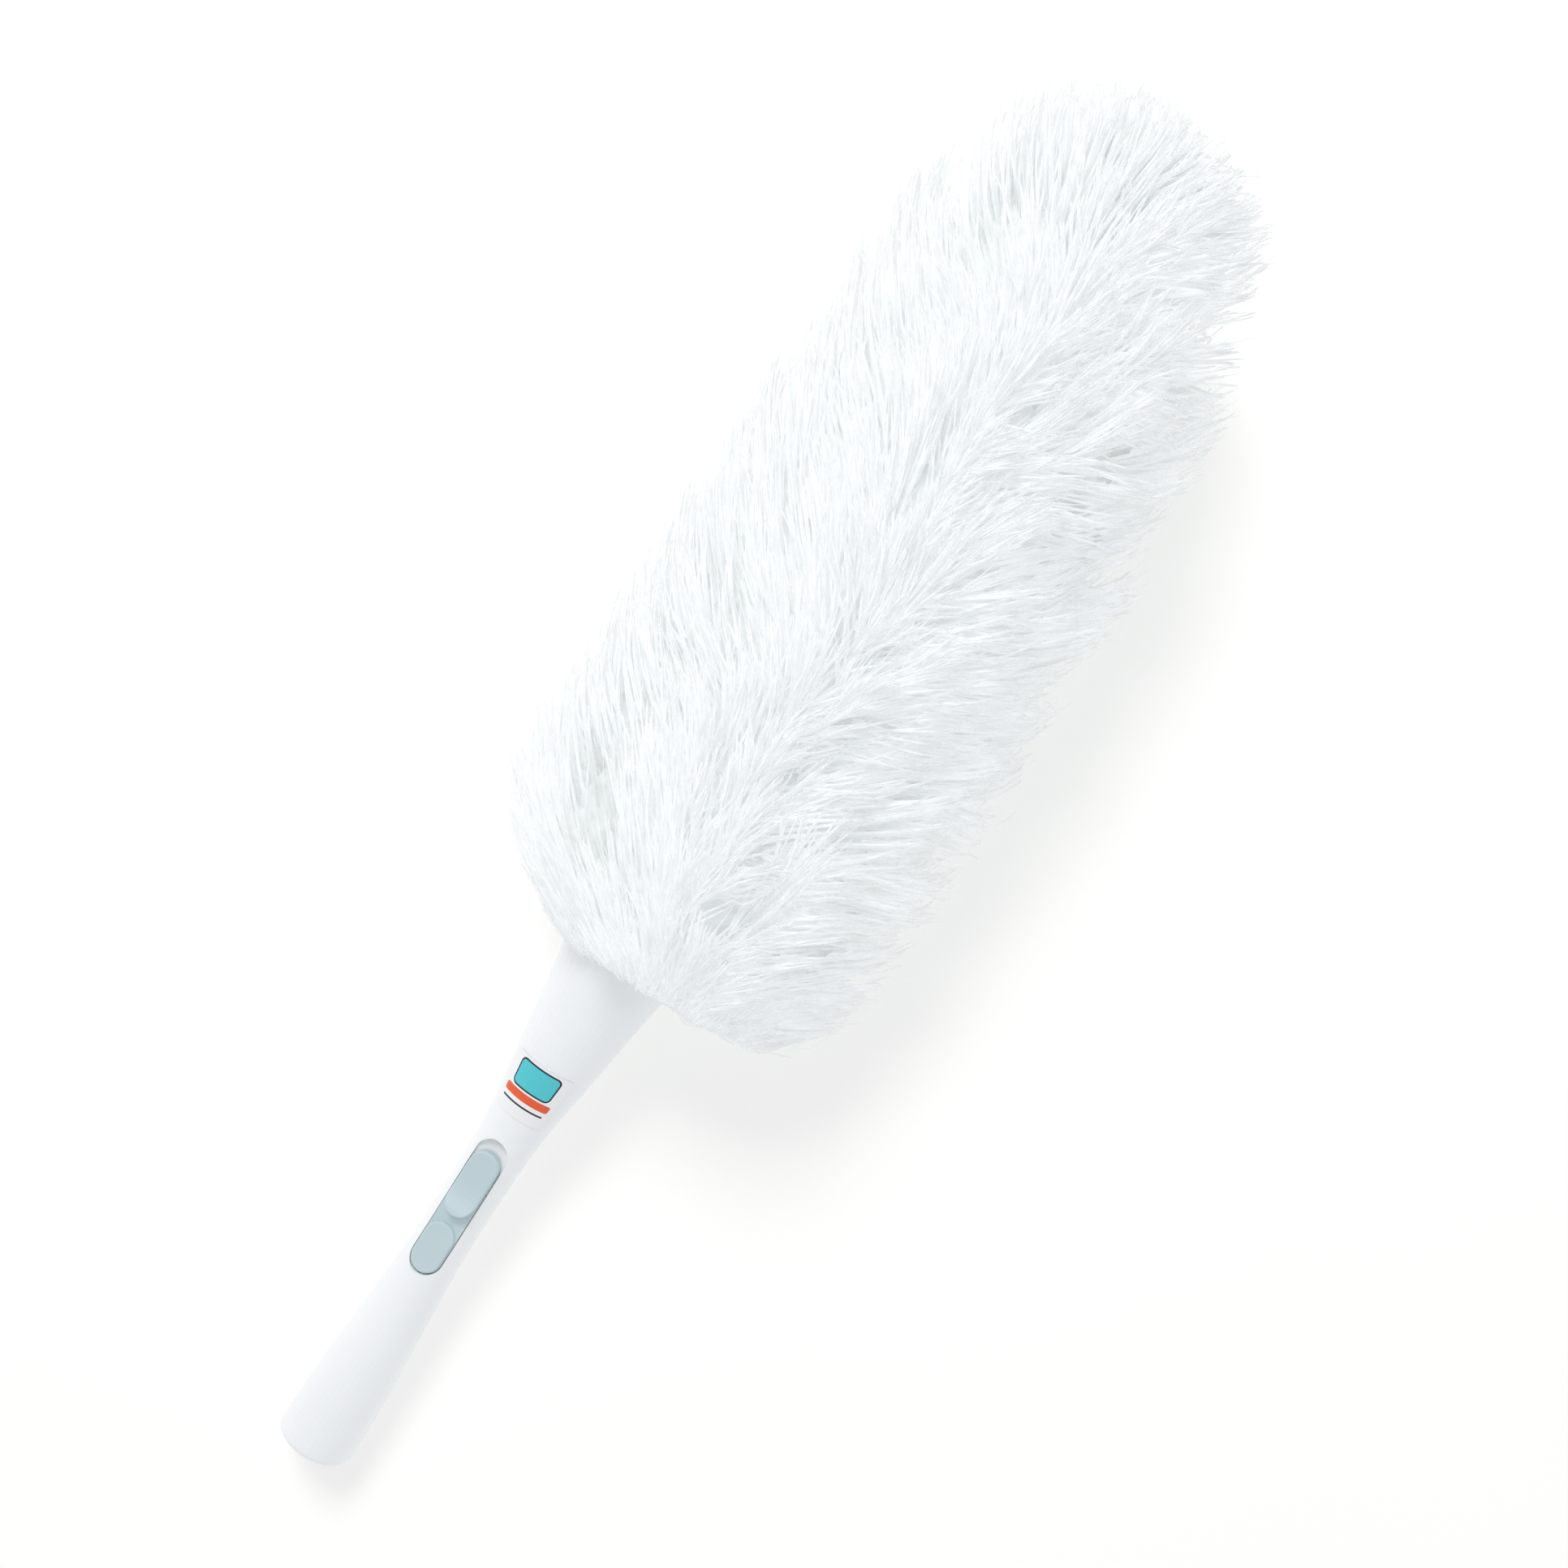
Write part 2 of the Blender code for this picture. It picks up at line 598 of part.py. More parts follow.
def slide_guide(nylon, metal):
    half_w = GUIDE_W / 2
    made = add("slide_guide", block((GUIDE_START, GUIDE_END), (-half_w, half_w), GUIDE_Z), nylon)
    seat_z = GUIDE_Z[0] + GUIDE_SEAT_DEPTH
    head = (GUIDE_SCREW_HEAD_R, GUIDE_SCREW_HEAD_H)
    for name, x in GUIDE_SCREWS.items():
        combine(made, "DIFFERENCE", post(x, 0.0, SCREW_SHANK_R + GAP, (-5 * MM, 5 * MM)))
        combine(made, "DIFFERENCE", post(x, 0.0, GUIDE_SCREW_HEAD_R + GAP, (seat_z, 5 * MM)))
        place = (x, 0.0, seat_z + GAP)
        screw(f"guide_screw_{name}", place, GUIDE_SCREW_LENGTH, metal, head, up=-1)


def head_socket(nylon):
    """A blind socket for the stem, held in the casing by its rear plate and by a ring at its mouth."""
    bore_r = STEM_R + RUNNING
    rear_r = handle_r(SOCKET_START) - WALL - GAP
    rear_end = SOCKET_START + SOCKET_REAR_PLATE
    ring_start, ring_end = SOCKET_RING
    ring_r = handle_r(ring_start) - WALL - GAP
    profile = [
        (SOCKET_START, 0.0), (SOCKET_START, rear_r), (rear_end, rear_r), (rear_end, SOCKET_R),
        (ring_start, SOCKET_R), (ring_start, ring_r), (ring_end, ring_r), (ring_end, SOCKET_R),
        (SOCKET_END, SOCKET_R), (SOCKET_END, bore_r), (STEM_START - GAP, bore_r),
        (STEM_START - GAP, 0.0),
    ]
    made = add("head_socket", turned(profile, HANDLE_STEPS), nylon)
    notch = NOSE_HALF_W + GAP
    notch_x = (SOCKET_START - MM, rear_end + MM)
    combine(made, "DIFFERENCE", block(notch_x, (-notch, notch), (SOCKET_R + RUNNING, FAR)))
    reach = CLIP_WIRE_R + GAP
    slot_x = (CLIP_X - reach, CLIP_X + reach)
    slot_z = (-SOCKET_R - 2 * MM, SOCKET_R + 2 * MM)
    inner, outer = GROOVE_R - RUNNING, SOCKET_R + 2 * MM
    slots = [block(slot_x, side, slot_z) for side in ((inner, outer), (-outer, -inner))]
    combine(made, "DIFFERENCE", joined(*slots))
    key_x = (KEY_X[0] - MM, SOCKET_END + MM)
    key_half_w = KEY_HALF_W + GAP
    key_z = (KEY_Z[0] - GAP, KEY_Z[1] + GAP)
    combine(made, "DIFFERENCE", block(key_x, (-key_half_w, key_half_w), key_z))


def release_clip(steel):
    """A sprung U of wire whose legs sit in the stem's groove, with two ears for the nose to part."""
    leg_y = GROOVE_R + 0.1 * MM + CLIP_WIRE_R
    leg_top, leg_bottom = CLIP_LEG_Z
    side = [*CLIP_EARS, (leg_y, leg_top), (leg_y, leg_bottom)]
    for i in range(1, CLIP_BEND_STEPS):
        turn = math.radians(90 * i / CLIP_BEND_STEPS)
        side.append((leg_y * math.cos(turn), leg_bottom - leg_y * math.sin(turn)))
    path = [*side, (0.0, leg_bottom - leg_y), *[(-y, z) for y, z in side[::-1]]]
    add("release_clip", wire([(CLIP_X, y, z) for y, z in path], CLIP_WIRE_R), steel)


def helix(start, end, radius, turns, steps, phase=0.0):
    """Points on a coil round X."""
    points = []
    for i in range(steps + 1):
        share = i / steps
        turn = 2 * math.pi * turns * share + phase
        x = start + (end - start) * share
        points.append((x, radius * math.cos(turn), radius * math.sin(turn)))
    return points


def return_spring(steel):
    start = CARRIAGE_END + GAP + SPRING_WIRE_R
    end = SOCKET_START - GAP - SPRING_WIRE_R
    points = helix(start, end, SPRING_R, SPRING_TURNS, SPRING_TURNS * SPRING_STEPS)
    add("return_spring", wire(points, SPRING_WIRE_R, bevel_resolution=1), steel)


def head_plug(nylon):
    """The stem, its groove for the clip, the flange that fills the handle's mouth, and the hub."""
    groove_start, groove_end = CLIP_X - GROOVE_W / 2, CLIP_X + GROOVE_W / 2
    bore_r = CORE_HELIX_R + CORE_WIRE_R + CORE_CLEARANCE
    bore_start = CORE_START - 2 * MM
    flange_end = FLANGE_START + FLANGE_THICKNESS
    lead, lead_r = STEM_LEAD
    profile = [
        (STEM_START, 0.0), (STEM_START, STEM_R - lead_r), (STEM_START + lead, STEM_R),
        (groove_start, STEM_R), (groove_start, GROOVE_R), (groove_end, GROOVE_R),
        (groove_end + MM / 2, STEM_R), (FLANGE_START, STEM_R), (FLANGE_START, FLANGE_R - MM),
        (FLANGE_START + MM, FLANGE_R), (flange_end - MM, FLANGE_R), (flange_end, FLANGE_R - MM),
        (flange_end, HUB_R), (HUB_END, HUB_R - MM / 2), (HUB_END, bore_r),
        (bore_start, bore_r), (bore_start, 0.0),
    ]
    made = add("head_plug", turned(profile, HANDLE_STEPS), nylon)
    combine(made, "UNION", block(KEY_X, (-KEY_HALF_W, KEY_HALF_W), KEY_Z))


def core(steel, nylon):
    """Two wires twisted together, with a ferrule at the hub and a soft cap on the tip."""
    length = CORE_END - CORE_START
    turns = length / CORE_PITCH
    steps = round(turns * CORE_STEPS)
    for name, phase in (("core_wire_a", 0.0), ("core_wire_b", math.pi)):
        points = helix(CORE_START, CORE_END, CORE_HELIX_R, turns, steps, phase)
        add(name, wire(points, CORE_WIRE_R, bevel_resolution=1), steel)
    inner = CORE_HELIX_R + CORE_WIRE_R + CORE_CLEARANCE
    start = HUB_END + GAP
    end = HUB_END + FERRULE_LENGTH
    ferrule = [(start, inner), (start, FERRULE_R), (end, FERRULE_R), (end, inner)]
    add("core_ferrule", turned(ferrule, SMALL_STEPS), steel)
    outer = inner + TIP_CAP_WALL
    cap_start = CORE_END - TIP_CAP_OVERLAP
    centre = TIP_CAP_END - outer
    arc = [math.radians(angle) for angle in range(0, 90, 15)]
    dome = [(centre + outer * math.sin(a), outer * math.cos(a)) for a in arc]
    hollow_end = CORE_END + CORE_WIRE_R
    hollow = [(cap_start, inner), (hollow_end, inner), (hollow_end, 0.0)]
    profile = [(TIP_CAP_END, 0.0), *dome[::-1], (cap_start, outer), *hollow]
    add("core_tip_cap", turned(profile, SMALL_STEPS), nylon)


def fibre_bands(fibre):
    """Five soft rings that fill the head's outline. The last one closes over the tip cap."""
    for name, (start, end) in BANDS.items():
        last = name == "tip"
        stop = end if last else end - BAND_GAP
        rim = [(x, head_r(x)) for x in steps_between(start, stop, BAND_STEP)]
        bore = [(stop, BAND_BORE_R)]
        if last:
            hollow_end = TIP_CAP_END + 2 * MM
            bore = [(end, 0.0), (hollow_end, 0.0), (hollow_end, BAND_BORE_R)]
        profile = [(start, BAND_BORE_R), *rim, *bore]
        if last:
            profile = [*bore[:1], *rim[::-1], (start, BAND_BORE_R), *bore[:0:-1]]
        add(f"fibre_band_{name}", turned(profile, BAND_STEPS), fibre)


def build():
    white = new_material("white_plastic", (0.86, 0.87, 0.92), 0.32)
    grey = new_material("grey_plastic", (0.50, 0.60, 0.64), 0.40)
    nylon = new_material("natural_nylon", (0.80, 0.80, 0.76), 0.50)
    metal = new_material("zinc_steel", (0.62, 0.62, 0.60), 0.35, 1.0)
    steel = new_material("spring_steel", (0.50, 0.50, 0.52), 0.30, 1.0)
    paper = new_material("label_film", (0.95, 0.95, 0.95), 0.30)
    fibre = new_material("white_fibre", (0.88, 0.91, 0.92), 0.85)
    handle_shells(white)
    end_plug(white)
    shell_screws(metal)
    label(paper)
    thumb_slide(grey)
    slide_carriage(nylon)
    slide_screw(metal)
    slide_guide(nylon, metal)
    head_socket(nylon)
    release_clip(steel)
    return_spring(steel)
    head_plug(nylon)
    core(steel, nylon)
    fibre_bands(fibre)


build()
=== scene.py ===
"""The finished look of the feather duster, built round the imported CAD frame.

Lengths are metres in the row frame: +X from the handle's end to the head's tip, +Z out through the
thumb slide. The duster lies on a floor that touches the handle's end and the underside of the head.
"""

import json
import math

import bmesh
import bpy
import numpy as np
from mathutils import Matrix, Vector


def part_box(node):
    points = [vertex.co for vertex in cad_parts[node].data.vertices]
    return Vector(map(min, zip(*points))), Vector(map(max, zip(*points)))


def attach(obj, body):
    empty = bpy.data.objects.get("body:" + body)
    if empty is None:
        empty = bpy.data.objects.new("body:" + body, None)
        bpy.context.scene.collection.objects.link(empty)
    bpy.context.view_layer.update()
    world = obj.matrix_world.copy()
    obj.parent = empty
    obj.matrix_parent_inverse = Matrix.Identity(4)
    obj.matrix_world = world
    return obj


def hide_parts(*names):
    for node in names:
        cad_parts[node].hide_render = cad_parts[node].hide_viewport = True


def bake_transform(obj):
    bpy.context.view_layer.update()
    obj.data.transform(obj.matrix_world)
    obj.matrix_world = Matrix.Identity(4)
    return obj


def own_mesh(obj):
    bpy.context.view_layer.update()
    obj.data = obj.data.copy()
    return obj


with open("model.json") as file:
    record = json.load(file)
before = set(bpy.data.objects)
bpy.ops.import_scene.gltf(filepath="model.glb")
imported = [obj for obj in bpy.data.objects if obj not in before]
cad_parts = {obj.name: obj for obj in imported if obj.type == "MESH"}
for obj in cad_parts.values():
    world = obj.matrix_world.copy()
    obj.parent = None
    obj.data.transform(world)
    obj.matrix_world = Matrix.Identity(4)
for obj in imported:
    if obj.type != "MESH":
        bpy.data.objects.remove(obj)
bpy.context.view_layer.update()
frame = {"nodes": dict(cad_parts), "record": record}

MM = 0.001
SEED = 20

# How the duster lies. Pitch lifts the head, roll turns the thumb slide to the left, and heading is
# the handle's direction, clockwise from straight up in the picture.
PITCH = math.radians(7.0)
ROLL = math.radians(7.5)
HEADING = math.radians(32.7)

# Camera, straight above the floor, and how far the floor lies below the duster's axis
CAMERA_LENS = 41.07
CAMERA_SENSOR = 36.0
CAMERA_OVER_X = 326.8 * MM
CAMERA_RIGHT = 16.4 * MM
CAMERA_HEIGHT = 680 * MM
CAMERA_CLIP = (0.01, 20.0)
FLOOR_DROP = 15.8 * MM
FLOOR_HALF = 20.0

# The head's outline as it lies, as (distance, radius) in millimetres. It is shifted to the right, but
# for its tip, and a little flat on top.
OUTLINE = (
    (244, 50), (245, 59), (247.5, 66), (251, 72), (258, 78), (267, 83.5), (277, 86.5), (288, 87.5),
    (320, 87.5), (358, 84), (404, 85), (428, 85.5), (465, 82), (510, 78), (540, 75), (560, 66.5),
    (573, 61), (583, 55.5), (591, 50), (598, 42), (603, 30), (606, 15), (607.5, 3),
)
SIDE_SHIFT = 8.0 * MM
TIP_CENTRED = 20 * MM
TOP_SQUASH = 0.10

# The head's base: it is fuller on the right, and its top fibres lean towards the tip
BASE_SHIFT = 9.0 * MM
BASE_SHIFT_R = 50 * MM
BASE_RAKE = 0.17
RAKE_ABOVE = 24 * MM
BASE_END = 276 * MM
BASE_REACH = 36 * MM
CORE_FIRST = 238 * MM

# Light: a pale sky and one large soft lamp, high and beyond the head
WORLD_COLOUR = (0.97, 0.985, 1.0, 1.0)
WORLD_STRENGTH = 0.71
KEY_DIRECTION = (-0.10, 0.72, 0.90)
KEY_DISTANCE = 2.2
KEY_SIZE = 0.75
KEY_POWER = 15.5
KEY_COLOUR = (1.0, 0.99, 0.97)
FLOOR_GLOW = 0.205
# Painted glow: the fibres emit a little light of their own, standing in for light scattered through and
# between the strands
FIBRE_PAINTED_GLOW = 0.288

RNG = np.random.default_rng(SEED)


def new_mesh(name, points, faces):
    mesh = bpy.data.meshes.new(name)
    mesh.from_pydata([tuple(p) for p in points], [], faces)
    mesh.update()
    return mesh


def new_piece(name, mesh, material, body, replaces=()):
    """An object for the mesh that rides on a body and may stand for CAD nodes."""
    piece = bpy.data.objects.new(name, mesh)
    bpy.context.scene.collection.objects.link(piece)
    mesh.materials.clear()
    mesh.materials.append(material)
    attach(piece, body)
    if replaces:
        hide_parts(*replaces)
    return piece


# ---------------------------------------------------------------- how the duster lies

def lying_axes():
    """Camera-space directions of the row's axes: x to the right, y up the picture, z to the camera."""
    s, c = math.sin(HEADING), math.cos(HEADING)
    along = Vector((s * math.cos(PITCH), c * math.cos(PITCH), math.sin(PITCH)))
    right = Vector((c, -s, 0.0))
    up = right.cross(along)
    row_z = math.cos(ROLL) * up - math.sin(ROLL) * right
    row_y = row_z.cross(along)
    return along, row_y, row_z, right


ALONG, ROW_Y, ROW_Z, RIGHT_CAM = lying_axes()
TO_ROW = Matrix((ALONG, ROW_Y, ROW_Z))
FLOOR_NORMAL = TO_ROW @ Vector((0.0, 0.0, 1.0))
TOP = Vector((0.0, -math.sin(ROLL), math.cos(ROLL)))
RIGHT = Vector((0.0, -math.cos(ROLL), -math.sin(ROLL)))


def camera():
    data = bpy.data.cameras.new("photo_camera")
    data.sensor_width = CAMERA_SENSOR
    data.lens = CAMERA_LENS
    data.clip_start, data.clip_end = CAMERA_CLIP
    made = bpy.data.objects.new("photo_camera", data)
    bpy.context.scene.collection.objects.link(made)
    offset = TO_ROW @ (CAMERA_RIGHT * RIGHT_CAM + Vector((0.0, 0.0, CAMERA_HEIGHT)))
    place = Vector((CAMERA_OVER_X, 0.0, 0.0)) + offset
    made.matrix_world = Matrix.Translation(place) @ TO_ROW.to_4x4()
    bpy.context.scene.camera = made


def floor(material):
    """A wide pale sheet under the duster."""
    half = FLOOR_HALF
    corners = [(-half, -half, 0), (half, -half, 0), (half, half, 0), (-half, half, 0)]
    mesh = new_mesh("floor", corners, [(0, 1, 2, 3)])
    made = bpy.data.objects.new("floor", mesh)
    bpy.context.scene.collection.objects.link(made)
    mesh.materials.append(material)
    made.matrix_world = Matrix.Translation(-FLOOR_DROP * FLOOR_NORMAL) @ TO_ROW.to_4x4()


def area_light(name, direction, distance, size, power, colour):
    """A square soft light that faces the duster from a camera-space direction."""
    data = bpy.data.lights.new(name, "AREA")
    data.shape = "SQUARE"
    data.size = size
    data.energy = power
    data.color = colour
    made = bpy.data.objects.new(name, data)
    bpy.context.scene.collection.objects.link(made)
    toward = (TO_ROW @ Vector(direction)).normalized()
    centre = Vector((CAMERA_OVER_X, 0.0, 0.0))
    made.location = centre + toward * distance
    made.rotation_mode = "QUATERNION"
    made.rotation_quaternion = toward.to_track_quat("Z", "Y")


def studio():
    scene = bpy.context.scene
    scene.view_settings.view_transform = "Standard"
    world = bpy.data.worlds.new("studio")
    scene.world = world
    world.use_nodes = True
    background = world.node_tree.nodes["Background"]
    background.inputs["Color"].default_value = WORLD_COLOUR
    background.inputs["Strength"].default_value = WORLD_STRENGTH
    area_light("key_light", KEY_DIRECTION, KEY_DISTANCE, KEY_SIZE, KEY_POWER, KEY_COLOUR)


# ---------------------------------------------------------------- materials

def shader_graph(name):
    """A new material with its node tree and its Principled shader."""
    material = bpy.data.materials.new(name)
    material.use_nodes = True
    tree = material.node_tree
    return material, tree, tree.nodes["Principled BSDF"]


def node(tree, kind, **settings):
    made = tree.nodes.new(kind)
    for key, value in settings.items():
        if key in made.inputs:
            made.inputs[key].default_value = value
        else:
            setattr(made, key, value)
    return made


def noise(tree, scale, detail=3.0, roughness=0.5):
    coords = node(tree, "ShaderNodeTexCoord")
    made = node(tree, "ShaderNodeTexNoise", Scale=scale, Detail=detail, Roughness=roughness)
    tree.links.new(coords.outputs["Object"], made.inputs["Vector"])
    return made


def ramp(tree, source, low, high, start=0.3, end=0.7):
    """A colour that goes from low to high as the source goes from start to end."""
    made = node(tree, "ShaderNodeValToRGB")
    made.color_ramp.elements[0].position = start
    made.color_ramp.elements[0].color = (*low, 1.0)
    made.color_ramp.elements[1].position = end
    made.color_ramp.elements[1].color = (*high, 1.0)
    tree.links.new(source, made.inputs["Fac"])
    return made


def bumped(tree, shader, source, strength, distance):
    bump = node(tree, "ShaderNodeBump", Strength=strength, Distance=distance)
    tree.links.new(source, bump.inputs["Height"])
    tree.links.new(bump.outputs["Normal"], shader.inputs["Normal"])


def moulded(name, low, high, roughness, grain):
    """Moulded plastic: slight flow marks in the colour, a fine skin, and roughness that varies."""
    material, tree, shader = shader_graph(name)
    flow = noise(tree, scale=28.0, detail=2.0)
    tint = ramp(tree, flow.outputs["Fac"], low, high)
    tree.links.new(tint.outputs["Color"], shader.inputs["Base Color"])
    skin = noise(tree, scale=grain, detail=2.0)
    span = node(tree, "ShaderNodeMapRange")
    span.inputs["To Min"].default_value = roughness - 0.05
    span.inputs["To Max"].default_value = roughness + 0.06
    tree.links.new(skin.outputs["Fac"], span.inputs["Value"])
    tree.links.new(span.outputs["Result"], shader.inputs["Roughness"])
    bumped(tree, shader, skin.outputs["Fac"], strength=0.12, distance=0.04 * MM)
    return material


def metal(name, low, high, roughness):
    material, tree, shader = shader_graph(name)
    streaks = noise(tree, scale=900.0, detail=4.0)
    tint = ramp(tree, streaks.outputs["Fac"], low, high)
    tree.links.new(tint.outputs["Color"], shader.inputs["Base Color"])
    shader.inputs["Metallic"].default_value = 1.0
    shader.inputs["Roughness"].default_value = roughness
    bumped(tree, shader, streaks.outputs["Fac"], strength=0.2, distance=0.03 * MM)
    return material


# Fibre colours: the root colour is painted shade, darker and cooler deep in the pile where the strands
# shade each other; the end colour is the fibre's own, and the streak colour varies at random
FIBRE_ROOT_SHADE = (0.60, 0.628, 0.622)
FIBRE_END = (0.83, 0.835, 0.845)
FIBRE_STREAK = (0.93, 0.95, 0.96)


def fibre_material():
    """White staple fibre: darker and cooler towards the roots as painted shade, near white at the ends,
    with a soft sheen and a painted glow.
    """
    material, tree, shader = shader_graph("white_fibre")
    along = node(tree, "ShaderNodeAttribute", attribute_name="along")
    # Painted shade: darker towards each strand's root, deep in the pile
    body = ramp(tree, along.outputs["Fac"], FIBRE_ROOT_SHADE, FIBRE_END, start=0.12, end=0.72)
    streak = noise(tree, scale=240.0, detail=3.0)
    tint = ramp(tree, streak.outputs["Fac"], FIBRE_STREAK, (1.0, 1.0, 1.0), start=0.35, end=0.6)
    mix = node(tree, "ShaderNodeMix", data_type="RGBA", blend_type="MULTIPLY")
    mix.inputs["Factor"].default_value = 1.0
    tree.links.new(body.outputs["Color"], mix.inputs[6])
    tree.links.new(tint.outputs["Color"], mix.inputs[7])
    tree.links.new(mix.outputs[2], shader.inputs["Base Color"])
    shader.inputs["Roughness"].default_value = 0.55
    shader.inputs["Sheen Weight"].default_value = 0.15
    shader.inputs["Specular IOR Level"].default_value = 0.3
    # Painted glow that stands in for light scattered between the strands
    shader.inputs["Emission Color"].default_value = (0.98, 1.0, 1.0, 1.0)
    shader.inputs["Emission Strength"].default_value = FIBRE_PAINTED_GLOW
    return material


def floor_material():
    material, tree, shader = shader_graph("studio_floor")
    grain = noise(tree, scale=3.0, detail=2.0)
    tint = ramp(tree, grain.outputs["Fac"], low=(0.905, 0.90, 0.88), high=(0.915, 0.91, 0.89))
    tree.links.new(tint.outputs["Color"], shader.inputs["Base Color"])
    shader.inputs["Roughness"].default_value = 0.9
    shader.inputs["Specular IOR Level"].default_value = 0.1
    shader.inputs["Emission Color"].default_value = (1.0, 1.0, 0.985, 1.0)
    shader.inputs["Emission Strength"].default_value = FLOOR_GLOW
    return material


# ---------------------------------------------------------------- fibres

PROFILE = ((240, 24), (242.5, 37)) + OUTLINE
X_OUT = np.array([p[0] for p in OUTLINE]) * MM
R_OUT = np.array([p[1] for p in OUTLINE]) * MM
HEAD_START, HEAD_TIP = X_OUT[0], X_OUT[-1]
TOP_V, RIGHT_V, NORMAL_V = (np.array(v) for v in (TOP, RIGHT, FLOOR_NORMAL))
CORE_R = 5.5 * MM
FLOOR_GAP = 0.4 * MM
FLOOR_SOFTNESS = 4.0 * MM
FLOOR_NEAR = 40 * MM
FLOOR_REACH = 30 * MM

# Rows of tufts over the outline, closer together over the base and the tip
TUFT_STEP = 26 * MM
TUFT_PITCH = 31 * MM
BASE_ARC = 78 * MM
BASE_CLOSER = 0.72
TIP_ARC = 56 * MM
TIP_CLOSER = 0.5
ROW_TURN = 0.3

# Extra tufts along the parting, and on both sides of it
PARTING_START = 257 * MM
PARTING_END = 585 * MM
PARTING_STEP = 11 * MM
PARTING_SPREAD = 0.16
PARTING_TURN = (0.10, 0.10, 21 * MM, 0.7)
FILL_START = 296 * MM
FILL_END = 545 * MM
FILL_STEP = 14 * MM
FILL_ANGLE = 0.45
FILL_SPREAD = 0.10

# A tuft: how its place, turn and height vary, and how its locks fan out. Near the head's start it
# moves and fans out less.
TUFT_JITTER = 4 * MM
TUFT_JITTER_FULL = 30 * MM
TUFT_ANGLE_JITTER = 0.07
TUFT_TURN = 0.16
TUFT_DEPTH = 0.13
TUFT_DEPTH_RIGHT = 0.05
LOCKS_PER_TUFT = 36
FAN_SIDE_SPREAD = 0.47
FAN_SIDE_MOST = 1.1
FAN_WIDTH = 19 * MM
FAN_BACK_SPREAD = 0.9
FAN_BACK_MOST = 2.2
FAN_DEPTH = 14 * MM
FAN_DEPTH_FULL = 40 * MM
FAN_FRONT = 0.6
FAN_R = 70 * MM
FAN_R_LEAST = 14 * MM
CREST_FALL_SIDE = 0.10
CREST_FALL_BACK = 0.03
CREST_JITTER = 0.045

# A lock: its length, how many degrees off the axis it lies, how it leaves the parting, how blunt its
# end is, and how deep its root lies. It is shorter where the head is thin, and straighter at the tip.
LOCK_LENGTH = 64 * MM
LOCK_LENGTHS = (0.8, 1.12)
LOCK_FULL_R = 60 * MM
LOCK_R = 0.85 * MM
LEAN_LEFT = 38
LEAN_RIGHT = 62
LEAN_AT_START = 0.55
LEAN_JITTER = 0.055
PARTING_HALF = 0.75
PARTING_FADE = 1.3
FAN_SWEEP = 0.20
TURN_SWEEP = 0.5
STRAIGHT_AT_TIP = 70 * MM
BLUNT_RIGHT = 0.6
ROOT_DEPTH = 0.46
ROOT_POWER = 1.5
OPENING = 60 * MM

# Near the handle the locks start closer to the axis, so that they leave room for its flared mouth
HUB_END = CORE_FIRST + 10 * MM
HUB_REACH = 30 * MM
HUB_SINK = 0.75
HUB_POWER = 0.8

# Fewer locks where the rows are closest
BASE_THIN = 12 * MM
TIP_THIN = 45 * MM
THINNED = 0.72

# A strand: thinner towards its end, with ragged lengths and a few wisps past the lock's end
STRANDS_PER_LOCK = 7
STRAND_R = 0.25 * MM
STRAND_RS = (0.75, 1.25)
STRAND_TAPER = 0.45
STRAND_RINGS = 6
STRAND_SIDES = 3
STRAND_START = 0.12
RAGGED = 0.14
RAGGED_LESS_IF_BLUNT = 0.10
RAGGED_MOST = 0.35
WISP_SHARE = 0.05
WISP_LENGTHS = (0.04, 0.16)

# How the strands lie round a lock's centre line: closer together towards its end, and a little flat
LOCK_FILL = (0.35, 1.0)
LOCK_R_LEAST = 0.7
LOCK_R_RANGE = 0.6
LOCK_TAPER = 0.85
LOCK_TAPER_LESS_IF_BLUNT = 0.25
LOCK_FLATNESS = 0.7

# Bent ends, waves as (turns, size, how many differ in a lock), and curls that leave the pile
HOOK = 1.3 * MM
HOOK_START = 0.45
HOOK_OVER = 0.6
WAVES = ((0.8, 1.1 * MM, 1), (1.9, 0.32 * MM, 1), (2.2, 0.20 * MM, STRANDS_PER_LOCK))
CURL_SHARE = 0.02
CURL_STRANDS = 3
CURL_SIZE = 4.0 * MM
CURL_START = 0.35
CURL_REACH = 0.6
CURL_POWER = 1.3
CURL_TURNS = (0.7, 1.15)
CURL_RISE = 0.8

# Tone: painted light makes the fibres on the left lighter, as on the side the lamp falls on, and the
# locks differ at random
LEFT_PAINTED_LIGHT = 0.06
LOCK_TONE = 0.16


def rising(x, start, reach, least=0.0):
    """Goes from least to 1 over the reach after the start."""
    return np.clip((x - start) / reach, least, 1.0)


def outline_r(x):
    return np.interp(x, X_OUT, R_OUT)


def on_head(x, radius, angle):
    """Points from distance, radius and angle. The angle is from the top towards the right."""
    x, radius, angle = np.broadcast_arrays(x, radius, angle)
    crown = radius * np.cos(angle) * (1.0 - TOP_SQUASH * (np.cos(angle) > 0))
    side = radius * np.sin(angle)
    share = np.clip(radius / np.maximum(outline_r(x), 1e-6), 0.0, 1.2)
    at_base = np.clip((BASE_END - x) / BASE_REACH, 0.0, 1.0)
    shift = SIDE_SHIFT * np.clip((HEAD_TIP - x) / TIP_CENTRED, 0.0, 1.0)
    shift = shift + BASE_SHIFT * at_base * rising(radius, 0.0, BASE_SHIFT_R)
    side = side + shift * share
    points = crown[..., None] * TOP_V + side[..., None] * RIGHT_V
    points[..., 0] += x + BASE_RAKE * at_base * np.maximum(crown - RAKE_ABOVE, 0.0)
    return points


